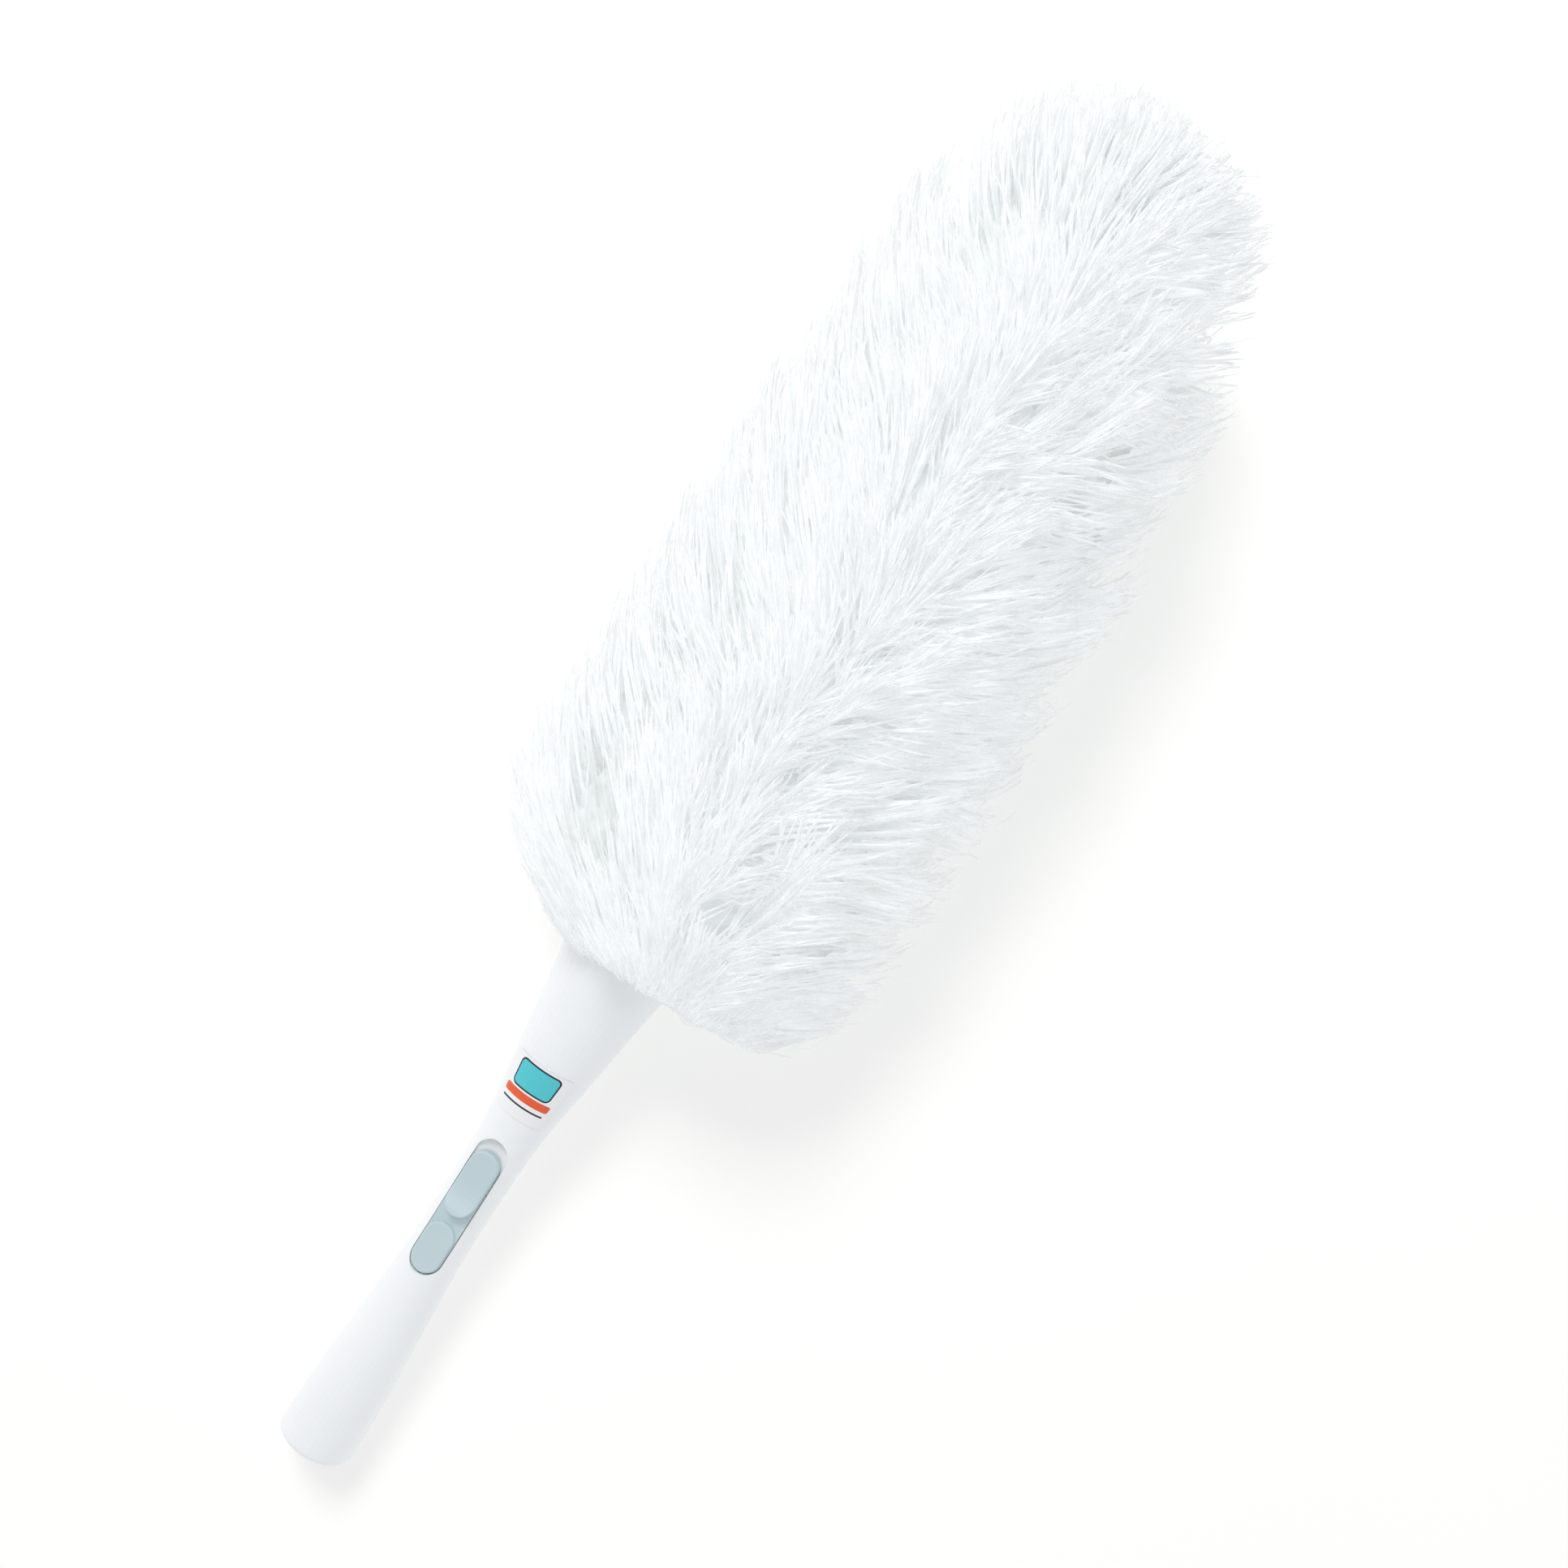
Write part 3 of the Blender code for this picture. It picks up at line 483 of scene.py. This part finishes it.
def rest_on_floor(points):
    """Lifts what would be under the floor, softly, so that the underside lies flat."""
    height = points @ NORMAL_V + FLOOR_DROP - FLOOR_GAP
    lifted = 0.5 * (height + np.sqrt(height**2 + FLOOR_SOFTNESS**2))
    near = np.clip((FLOOR_NEAR - height) / FLOOR_REACH, 0.0, 1.0)
    return points + ((lifted - height) * near)[..., None] * NORMAL_V


def tuft_places():
    """Distance, radius and angle of each tuft's end: rows over the outline, each turned from the last."""
    xs, rs = np.array(PROFILE).T * MM
    arc = np.concatenate([[0.0], np.cumsum(np.hypot(np.diff(xs), np.diff(rs)))])
    rows = np.concatenate([
        np.arange(0.4 * TUFT_STEP, BASE_ARC, BASE_CLOSER * TUFT_STEP),
        np.arange(BASE_ARC, arc[-1] - TIP_ARC, TUFT_STEP),
        np.arange(arc[-1] - TIP_ARC, arc[-1], TIP_CLOSER * TUFT_STEP),
    ])
    places = []
    for k, s in enumerate(rows):
        x, r = np.interp(s, arc, xs), np.interp(s, arc, rs)
        around = max(4, round(2 * math.pi * r / TUFT_PITCH))
        turn = (np.arange(around) + 0.5 * (k % 2) + ROW_TURN * RNG.random()) / around
        places += [(x, r, a) for a in 2 * math.pi * turn - math.pi]
    for x in np.arange(PARTING_START, PARTING_END, PARTING_STEP):
        places.append((x, outline_r(x), parting_of(x) + RNG.normal(0, PARTING_SPREAD)))
    for k, x in enumerate(np.arange(FILL_START, FILL_END, FILL_STEP)):
        sides = (-1, 1) if k % 2 else (-1,)
        for side in sides:
            angle = parting_of(x) + side * FILL_ANGLE + RNG.normal(0, FILL_SPREAD)
            places.append((x, outline_r(x), angle))
    return np.array(places).T


def parting_of(x):
    """Angle of the parting, which wanders a little to the right of the top."""
    middle, swing, scale, phase = PARTING_TURN
    return middle + swing * np.sin(x / scale + phase)


def lean_of(x, angle):
    """Angle off the axis at which the fibres lie on the surface: less on the left than on the right."""
    rightness = 0.5 + 0.5 * np.sin(angle)
    lean = np.radians(LEAN_LEFT + (LEAN_RIGHT - LEAN_LEFT) * rightness)
    return lean * (LEAN_AT_START + (1.0 - LEAN_AT_START) * rising(x, HEAD_START, OPENING))


def make_locks():
    """The locks of every tuft. A tuft is a fan of locks, fullest along its middle."""
    x, r, angle = tuft_places()
    count = len(x)
    x = x + RNG.normal(0, TUFT_JITTER, count) * rising(x, HEAD_START, TUFT_JITTER_FULL, 0.1)
    angle = angle + RNG.normal(0, TUFT_ANGLE_JITTER, count)
    turn = RNG.normal(0, TUFT_TURN, count)
    lift = 1.0 - (TUFT_DEPTH + TUFT_DEPTH_RIGHT * np.sin(angle)) * RNG.random(count) ** 1.5
    shape = (count, LOCKS_PER_TUFT)
    a = RNG.normal(0, FAN_SIDE_SPREAD, shape).clip(-FAN_SIDE_MOST, FAN_SIDE_MOST)
    b = FAN_FRONT - np.abs(RNG.normal(0, FAN_BACK_SPREAD, shape)).clip(0, FAN_BACK_MOST)
    size = np.clip(r / FAN_R, 0.30, 1.0)[:, None]
    end_x = x[:, None] + FAN_DEPTH * b * rising(x, HEAD_START, FAN_DEPTH_FULL, 0.05)[:, None]
    end_x = np.minimum(end_x, HEAD_TIP - 1 * MM)
    end_angle = angle[:, None] + FAN_WIDTH * a * size / np.maximum(r, FAN_R_LEAST)[:, None]
    crest = lift[:, None] * (1.0 - CREST_FALL_SIDE * a**2 - CREST_FALL_BACK * (b < 0) * b**2)
    crest = crest - np.abs(RNG.normal(0, CREST_JITTER, shape))
    here = np.where(end_x > HEAD_START + 25 * MM, outline_r(end_x), r[:, None])
    end_r = np.minimum(here, outline_r(np.maximum(end_x, HEAD_START))) * crest
    signed = (end_angle - parting_of(end_x) + math.pi) % (2 * math.pi) - math.pi
    lean = lean_of(end_x, signed) + turn[:, None] + RNG.normal(0, LEAN_JITTER, shape)
    length = LOCK_LENGTH * RNG.uniform(*LOCK_LENGTHS, shape) * np.clip(end_r / LOCK_FULL_R, 0.5, 1.0)
    away = np.abs(signed)
    faded = np.exp(-(((away - PARTING_HALF) / PARTING_FADE) ** 2))
    across = length * np.sin(lean) * np.where(away < PARTING_HALF, away / PARTING_HALF, faded)
    sweep = np.sign(signed) * across / np.maximum(end_r, 20 * MM)
    sweep = sweep + FAN_SWEEP * a + TURN_SWEEP * turn[:, None]
    rightness = 0.5 + 0.5 * np.sin(signed)
    blunt = rightness * BLUNT_RIGHT + (1.0 - BLUNT_RIGHT) * RNG.random((count, 1))
    locks = {
        "x": end_x,
        "r": end_r,
        "angle": end_angle,
        "sweep": sweep * np.clip((HEAD_TIP - end_x) / STRAIGHT_AT_TIP, 0.1, 1.0),
        "run": length * np.cos(lean),
        "blunt": blunt,
        "length": length,
        "home": x[:, None],
        "side": angle[:, None],
    }
    crowded = (x < HEAD_START + BASE_THIN) | (x > HEAD_TIP - TIP_THIN)
    kept = RNG.random(shape) < np.where(crowded, THINNED, 1.0)[:, None]
    return {k: np.broadcast_to(v, shape)[kept] for k, v in locks.items()}


def lock_path(locks, t):
    """Centre points of each lock at the shares t of its length, from deep in the pile to its end."""
    left = 1.0 - t
    x_end, r_end, angle = (locks[k][:, None] for k in ("x", "r", "angle"))
    run, sweep = locks["run"][:, None], locks["sweep"][:, None]
    x = x_end - run * left
    hub = np.clip((HUB_END - x) / HUB_REACH, 0.0, 1.0)
    x = np.where(x_end < CORE_FIRST, x_end, np.maximum(x, CORE_FIRST))
    deep = np.maximum(left, 0.0)
    radius = np.minimum(r_end, outline_r(x)) * (1.0 - ROOT_DEPTH * deep**ROOT_POWER)
    radius = radius * (1.0 - hub * deep**HUB_POWER * HUB_SINK)
    opened = rising(x_end, HEAD_START, OPENING)
    radius = radius * opened + (CORE_R + (r_end - CORE_R) * t) * (1.0 - opened)
    return on_head(x, radius, angle - sweep * left)


def unit(vectors):
    return vectors / (np.linalg.norm(vectors, axis=-1, keepdims=True) + 1e-9)


def strands_of(locks):
    """Ring centres of every strand, with how far along its lock each lies."""
    count = len(locks["x"])
    k = STRANDS_PER_LOCK
    blunt = locks["blunt"][:, None]
    ragged = np.abs(RNG.normal(0, 1, (count, k))) * (RAGGED - RAGGED_LESS_IF_BLUNT * blunt)
    last = 1.0 - np.minimum(ragged, RAGGED_MOST)
    wisp = (RNG.random((count, k)) < WISP_SHARE) * RNG.uniform(*WISP_LENGTHS, (count, k))
    last = np.where(wisp > 0, 1.0 + wisp, last)
    first = np.full((count, k), STRAND_START)
    t = first[..., None] + (last - first)[..., None] * np.linspace(0, 1, STRAND_RINGS)
    mean_t = t.mean(axis=1)
    centre = lock_path(locks, mean_t)

    # Directions along the lock, out from the axis, and across
    tangent = unit(np.gradient(centre, axis=1))
    outward = unit(centre - np.array([1.0, 0, 0]) * centre[..., :1])
    across = unit(np.cross(tangent, outward))
    over = np.cross(across, tangent)

    # The strands round the lock's centre line, closer together towards its end
    around = 2 * math.pi * (np.arange(k)[None, :] + RNG.random((count, 1))) / k
    fill = RNG.uniform(*LOCK_FILL, (count, k))
    narrowing = (LOCK_TAPER - LOCK_TAPER_LESS_IF_BLUNT * blunt)[..., None]
    taper = 1.0 - narrowing * mean_t[:, None, :] ** 2
    lock_r = LOCK_R * (LOCK_R_LEAST + LOCK_R_RANGE * RNG.random((count, 1)))
    width = lock_r[..., None] * taper * fill[..., None]
    twist = around[..., None] + t * RNG.normal(0, 1, (count, 1, 1))
    shift = (t - mean_t[:, None, :])[..., None] * locks["length"][:, None, None, None] * tangent[:, None]
    points = centre[:, None] + shift
    points = points + (width * np.cos(twist))[..., None] * across[:, None]
    points = points + (LOCK_FLATNESS * width * np.sin(twist))[..., None] * over[:, None]

    # Bent ends and waves
    bent = HOOK * np.clip((t - HOOK_START) / (1.0 - HOOK_START), 0.0, None)[..., None] ** 2
    points = points + bent * RNG.normal(0, 1, (count, 1, 1, 1)) * across[:, None]
    points = points + HOOK_OVER * bent * RNG.normal(0, 1, (count, 1, 1, 1)) * over[:, None]
    for cycles, size, each in WAVES:
        side = RNG.normal(0, 1, (count, each, 1, 3))
        side /= np.linalg.norm(side, axis=-1, keepdims=True)
        phase = RNG.random((count, each, 1)) * 2 * math.pi
        wave = np.sin(2 * math.pi * cycles * t + phase) * t
        points = points + size * wave[..., None] * side

    # A few strands curl up out of the pile
    curled = (RNG.random((count, 1)) < CURL_SHARE) & (np.arange(k) < CURL_STRANDS)
    bend = curled[..., None] * np.clip((t - CURL_START) / CURL_REACH, 0.0, None) ** CURL_POWER
    start_turn = RNG.random((count, 1, 1))
    phase = 2 * math.pi * (start_turn + RNG.uniform(*CURL_TURNS, (count, 1, 1)) * bend)
    ring = np.cos(phase)[..., None] * across[:, None] + np.sin(phase)[..., None] * over[:, None]
    points = points + CURL_SIZE * bend[..., None] * (ring + CURL_RISE * outward[:, None])
    return rest_on_floor(points.reshape(-1, STRAND_RINGS, 3)), t.reshape(-1, STRAND_RINGS)


def tubes(points, along, radii):
    """Closed three-sided tubes round many paths of equal length, as vertices, quads and end caps."""
    count, rings, _ = points.shape
    tangent = unit(np.gradient(points, axis=1))
    first = tangent[:, 0]
    # Any direction well away from the strand's own start
    helper = np.where(np.abs(first[:, :1]) < 0.7, [1.0, 0.0, 0.0], [0.0, 1.0, 0.0])
    side = np.empty_like(tangent)
    side[:, 0] = np.cross(first, helper)
    for i in range(1, rings):
        leaning = np.sum(side[:, i - 1] * tangent[:, i], axis=-1, keepdims=True)
        side[:, i] = side[:, i - 1] - leaning * tangent[:, i]
    side = unit(side)
    other = np.cross(tangent, side)
    corner = np.arange(STRAND_SIDES) * 2 * math.pi / STRAND_SIDES
    ring = np.cos(corner)[:, None] * side[..., None, :] + np.sin(corner)[:, None] * other[..., None, :]
    verts = points[..., None, :] + radii[..., None, None] * ring
    index = np.arange(count * rings * STRAND_SIDES).reshape(count, rings, STRAND_SIDES)
    nxt = np.roll(index, -1, axis=2)
    quads = np.stack([index[:, :-1], nxt[:, :-1], nxt[:, 1:], index[:, 1:]], -1).reshape(-1, 4)
    caps = np.concatenate([index[:, 0, ::-1], index[:, -1]])
    shade = np.repeat(along[..., None], STRAND_SIDES, 2).reshape(-1)
    return verts.reshape(-1, 3), quads, caps, shade


def strand_map(count):
    """UV corners for the tubes of this many strands, each strand in its own cell of a square grid."""
    cells = math.ceil(math.sqrt(count))
    filled = 0.9
    k = np.arange(count)
    origin = np.stack([k % cells, k // cells], -1) / cells
    size = filled / cells
    ring, side = np.meshgrid(np.arange(STRAND_RINGS - 1), np.arange(STRAND_SIDES), indexing="ij")
    corners = np.array([(0, 0), (1, 0), (1, 1), (0, 1)])
    u = (side[..., None] + corners[:, 0]) / STRAND_SIDES
    v = (ring[..., None] + corners[:, 1]) / (STRAND_RINGS - 1)
    walls = origin[:, None, None, None] + size * np.stack([u, v], -1)
    first = origin[:, None] + size * np.array([(0.1, 0.0), (0.9, 0.0), (0.5, 0.1)])
    last = origin[:, None] + size * np.array([(0.1, 1.0), (0.9, 1.0), (0.5, 0.9)])
    return np.concatenate([part.reshape(-1, 2) for part in (walls, first, last)])


def tube_mesh(name, verts, quads, caps, shade):
    """A mesh from many small tubes, with a shade value at each point: how far along its strand it lies,
    which darkens the roots as painted shade, plus the lock's tone and painted light on the left.
    """
    mesh = bpy.data.meshes.new(name)
    mesh.vertices.add(len(verts))
    mesh.vertices.foreach_set("co", verts.astype(np.float32).ravel())
    loops = np.concatenate([quads.ravel(), caps.ravel()]).astype(np.int32)
    sizes = np.concatenate([np.full(len(quads), 4), np.full(len(caps), 3)])
    starts = np.concatenate([[0], np.cumsum(sizes)[:-1]]).astype(np.int32)
    mesh.loops.add(len(loops))
    mesh.loops.foreach_set("vertex_index", loops)
    mesh.polygons.add(len(sizes))
    mesh.polygons.foreach_set("loop_start", starts)
    layer = mesh.attributes.new("along", "FLOAT", "POINT")
    layer.data.foreach_set("value", shade.astype(np.float32))
    uv = mesh.uv_layers.new(name="OFBake")
    uv.uv.foreach_set("vector", strand_map(len(caps) // 2).astype(np.float32).ravel())
    mesh.update(calc_edges=True)
    mesh.shade_smooth()
    return mesh


BAND_NAMES = ("base", "lower", "middle", "upper", "tip")
UNDER_ANGLE = 0.55 * math.pi
BEYOND = 10.0


def fibre_pieces(material):
    """Strands over the whole head, in four pieces for each CAD band, by the side they lie on."""
    locks = make_locks()
    points, along = strands_of(locks)
    home_x = np.repeat(locks["home"], STRANDS_PER_LOCK)
    angle = np.repeat((locks["side"] + math.pi) % (2 * math.pi) - math.pi, STRANDS_PER_LOCK)
    tone = np.repeat(RNG.normal(0, LOCK_TONE, len(locks["x"])), STRANDS_PER_LOCK)[:, None]
    radii = STRAND_R * (1.0 - STRAND_TAPER * along**2) * RNG.uniform(*STRAND_RS, (len(points), 1))
    # Shade value: how far along its strand a point lies (darker roots are painted shade), the lock's
    # random tone, and painted light on the left side
    shade = along + tone + LEFT_PAINTED_LIGHT * (0.5 - 0.5 * np.sin(angle))[:, None]
    under = np.abs(angle) > UNDER_ANGLE
    sides = (
        ("left", (angle <= 0) & ~under), ("right", (angle > 0) & ~under),
        ("under_left", (angle <= 0) & under), ("under_right", (angle > 0) & under),
    )
    inner_edges = [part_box(f"fibre_band_{name}")[0].x for name in BAND_NAMES[1:]]
    edges = [-BEYOND, *inner_edges, BEYOND]
    for band, low, high in zip(BAND_NAMES, edges, edges[1:]):
        for side, chosen in sides:
            pick = (home_x >= low) & (home_x < high) & chosen
            name = f"fibres_{band}_{side}"
            mesh = tube_mesh(name, *tubes(points[pick], shade[pick], radii[pick]))
            new_piece(name, mesh, material, "head", (f"fibre_band_{band}",))


UNDERLAY_ROWS, UNDERLAY_COLUMNS = 110, 120
UNDERLAY_START = HEAD_START + 5 * MM
UNDERLAY_END = HEAD_TIP - 16 * MM
UNDERLAY_TAPER = 80 * MM
UNDERLAY_DEPTH = 0.70
UNDERLAY_LUMPS = 0.03
UNDERLAY_ROUGHNESS = 0.02
# The underlay's place on the fibre colour ramp: near the roots, so it takes their darker colour as
# painted shade
UNDERLAY_PAINTED_SHADE = 0.15


def underlay(material):
    """The matted inner pile that closes the gaps between the outer strands, in the darker root colour as
    painted shade.
    """
    rows, columns = UNDERLAY_ROWS, UNDERLAY_COLUMNS
    x = np.linspace(UNDERLAY_START, UNDERLAY_END, rows)
    angle = np.arange(columns) * 2 * math.pi / columns
    grid_x, grid_a = np.meshgrid(x, angle, indexing="ij")
    lumps = np.sin(9 * grid_a + 60 * grid_x) * np.sin(7 * grid_a - 110 * grid_x)
    depth = UNDERLAY_DEPTH + UNDERLAY_LUMPS * lumps
    depth = depth + UNDERLAY_ROUGHNESS * RNG.normal(0, 1, grid_x.shape)
    fade = np.clip((UNDERLAY_END - grid_x) / UNDERLAY_TAPER, 0.0, 1.0) ** 0.5
    radius = np.maximum(outline_r(grid_x) * depth * fade, 1.0 * MM)
    points = rest_on_floor(on_head(grid_x, radius, grid_a)).reshape(-1, 3)
    index = np.arange(rows * columns).reshape(rows, columns)
    nxt = np.roll(index, -1, axis=1)
    walls = np.stack([index[:-1], nxt[:-1], nxt[1:], index[1:]], -1).reshape(-1, 4)
    faces = [*walls.tolist(), index[0, ::-1].tolist(), index[-1].tolist()]
    mesh = new_mesh("fibre_underlay", points, faces)
    # Painted shade: the whole underlay takes the darker root colour
    layer = mesh.attributes.new("along", "FLOAT", "POINT")
    layer.data.foreach_set("value", np.full(len(points), UNDERLAY_PAINTED_SHADE, np.float32))
    mesh.shade_smooth()
    new_piece("fibre_underlay", mesh, material, "head")


# ---------------------------------------------------------------- label

# Printed shapes as (span along the handle, half their arc, corner radius) in millimetres. The mark's
# shapes also have a name, an ink, and how many layers of ink lie under their top.
LABEL_LIFT = 0.03 * MM
FILM_DEPTH = 0.2 * MM
INK_LIFT = 0.05 * MM
INK_OVERLAP = 0.01 * MM
PATCH_COLUMNS, PATCH_ROWS = 33, 9
SHARP_EDGE = math.radians(40)
STATION_STEP = 0.5 * MM
FILM = ((163.3, 187.7), 13.6, 2.4)
MARK = (
    ("label_edge", "dark_ink", (175.0, 186.7), 9.4, 2.4, 1),
    ("label_panel", "teal_ink", (175.7, 186.0), 8.7, 1.8, 2),
    ("label_bar", "orange_ink", (170.9, 174.2), 10.6, 0.9, 1),
    ("label_rule", "dark_ink", (168.4, 169.1), 9.6, 0.3, 1),
)


def label_curve():
    """The radius of the CAD label's outer face as a smooth function of x."""
    points = np.array([v.co for v in frame["nodes"]["product_label"].data.vertices])
    r = np.hypot(points[:, 1], points[:, 2])
    stations = np.round(points[:, 0] / STATION_STEP)
    widest = [(points[stations == k, 0].mean(), r[stations == k].max()) for k in np.unique(stations)]
    return np.polyfit(*np.array(widest).T, 2)


def wrapped(name, span, half_arc, corner, low, high, curve):
    """A thin patch with rounded corners, wrapped round the handle between two heights."""
    columns, rows = PATCH_COLUMNS, PATCH_ROWS
    mid_x = 0.5 * (span[0] + span[1]) * MM
    half_x = 0.5 * (span[1] - span[0]) * MM
    half_arc, corner = half_arc * MM, corner * MM
    u = np.sin(np.linspace(-0.5, 0.5, columns) * math.pi) * half_arc
    past = np.maximum(np.abs(u) - (half_arc - corner), 0.0)
    reach = half_x - corner + np.sqrt(np.maximum(corner**2 - past**2, 0.0))
    x = mid_x + reach[:, None] * np.linspace(-1, 1, rows)[None, :]
    turn = np.repeat((u / np.polyval(curve, mid_x))[:, None], rows, 1)
    layers = []
    for height in (low, high):
        r = np.polyval(curve, x) + height
        layers.append(np.stack([x, r * np.sin(turn), r * np.cos(turn)], -1).reshape(-1, 3))
    index = np.arange(columns * rows).reshape(columns, rows)
    corners = [index[:-1, :-1], index[:-1, 1:], index[1:, 1:], index[1:, :-1]]
    lower = np.stack(corners, -1).reshape(-1, 4)
    rim = np.concatenate([index[:-1, 0], index[-1, :-1], index[:0:-1, -1], index[0, :0:-1]])
    faces = lower.tolist() + (lower[:, ::-1] + index.size).tolist()
    for a, b in zip(rim, np.roll(rim, -1)):
        faces.append((int(b), int(a), int(a) + index.size, int(b) + index.size))
    mesh = new_mesh(name, np.concatenate(layers), faces)
    shape = bmesh.new()
    shape.from_mesh(mesh)
    bmesh.ops.recalc_face_normals(shape, faces=shape.faces)
    shape.to_mesh(mesh)
    shape.free()
    mesh.shade_smooth()
    mesh.set_sharp_from_angle(angle=SHARP_EDGE)
    return mesh


def label(materials):
    """White film with a plain printed mark: a framed panel, a bar and a rule, without text."""
    curve = label_curve()
    mesh = wrapped("label_film", *FILM, -FILM_DEPTH, LABEL_LIFT, curve)
    new_piece("label_film", mesh, materials["label_film"], "handle", ("product_label",))
    for name, ink, span, half_arc, corner, layer in MARK:
        high = LABEL_LIFT + layer * INK_LIFT
        low = high - INK_LIFT - INK_OVERLAP
        mesh = wrapped(name, span, half_arc, corner, low, high, curve)
        new_piece(name, mesh, materials[ink], "handle", ("product_label",))


# ---------------------------------------------------------------- sprung wires inside the handle


def row_mesh(node, name):
    """A copy of a CAD node's mesh, in the row frame."""
    part = frame["nodes"][node]
    mesh = part.data.copy()
    mesh.name = name
    mesh.transform(part.matrix_world)
    return mesh


def coil(material):
    """The return spring between the carriage and the socket, as a copy of its CAD mesh in the row frame.
    """
    piece = bpy.data.objects.new("spring_coil", row_mesh("return_spring", "spring_coil"))
    bpy.context.scene.collection.objects.link(piece)
    piece.data.materials.clear()
    piece.data.materials.append(material)
    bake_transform(piece)
    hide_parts("return_spring")


def clip(material):
    """The release clip, cut into left and right halves that both ride on the handle; the slide's nose
    comes between them at the top.
    """
    for name, side in (("clip_left", 1), ("clip_right", -1)):
        mesh = row_mesh("release_clip", name)
        shape = bmesh.new()
        shape.from_mesh(mesh)
        bmesh.ops.bisect_plane(
            shape,
            geom=[*shape.verts, *shape.edges, *shape.faces],
            dist=0.01 * MM,
            plane_co=(0, 0, 0),
            plane_no=(0, -side, 0),
            clear_outer=True,
        )
        bmesh.ops.holes_fill(shape, edges=[e for e in shape.edges if e.is_boundary])
        bmesh.ops.recalc_face_normals(shape, faces=shape.faces)
        shape.to_mesh(mesh)
        shape.free()
        piece = new_piece(name, mesh, material, "handle", ("release_clip",))
        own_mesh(piece)


# ---------------------------------------------------------------- build

def dress_cad(materials):
    """Gives every carried-over CAD node its finished material."""
    slots = {s["node"]: s["material_slot"] for s in frame["record"]["subparts"]}
    for name, part in frame["nodes"].items():
        part.data.materials.clear()
        part.data.materials.append(materials[slots[name]])


# Moulded and printed finishes as (darkest colour, lightest colour, roughness, grain)
FINISHES = {
    "white_plastic": ((0.955, 0.97, 0.995), (0.97, 0.985, 1.0), 0.30, 2600.0),
    "grey_plastic": ((0.55, 0.67, 0.71), (0.59, 0.71, 0.75), 0.38, 2200.0),
    "natural_nylon": ((0.72, 0.72, 0.68), (0.78, 0.78, 0.74), 0.45, 1800.0),
    "label_film": ((0.95, 0.95, 0.965), (0.975, 0.975, 0.985), 0.28, 1500.0),
    "teal_ink": ((0.085, 0.60, 0.67), (0.10, 0.66, 0.73), 0.35, 1500.0),
    "orange_ink": ((0.86, 0.11, 0.035), (0.92, 0.14, 0.045), 0.35, 1500.0),
    "dark_ink": ((0.010, 0.016, 0.024), (0.016, 0.022, 0.032), 0.35, 1500.0),
}
METALS = {
    "zinc_steel": ((0.50, 0.50, 0.49), (0.66, 0.66, 0.63), 0.34),
    "spring_steel": ((0.42, 0.42, 0.44), (0.56, 0.56, 0.58), 0.28),
}


def build():
    materials = {name: moulded(name, *finish) for name, finish in FINISHES.items()}
    materials.update({name: metal(name, *finish) for name, finish in METALS.items()})
    materials["white_fibre"] = fibre_material()
    dress_cad(materials)
    label(materials)
    coil(materials["spring_steel"])
    clip(materials["spring_steel"])
    fibre_pieces(materials["white_fibre"])
    underlay(materials["white_fibre"])
    camera()
    studio()
    floor(floor_material())


build()
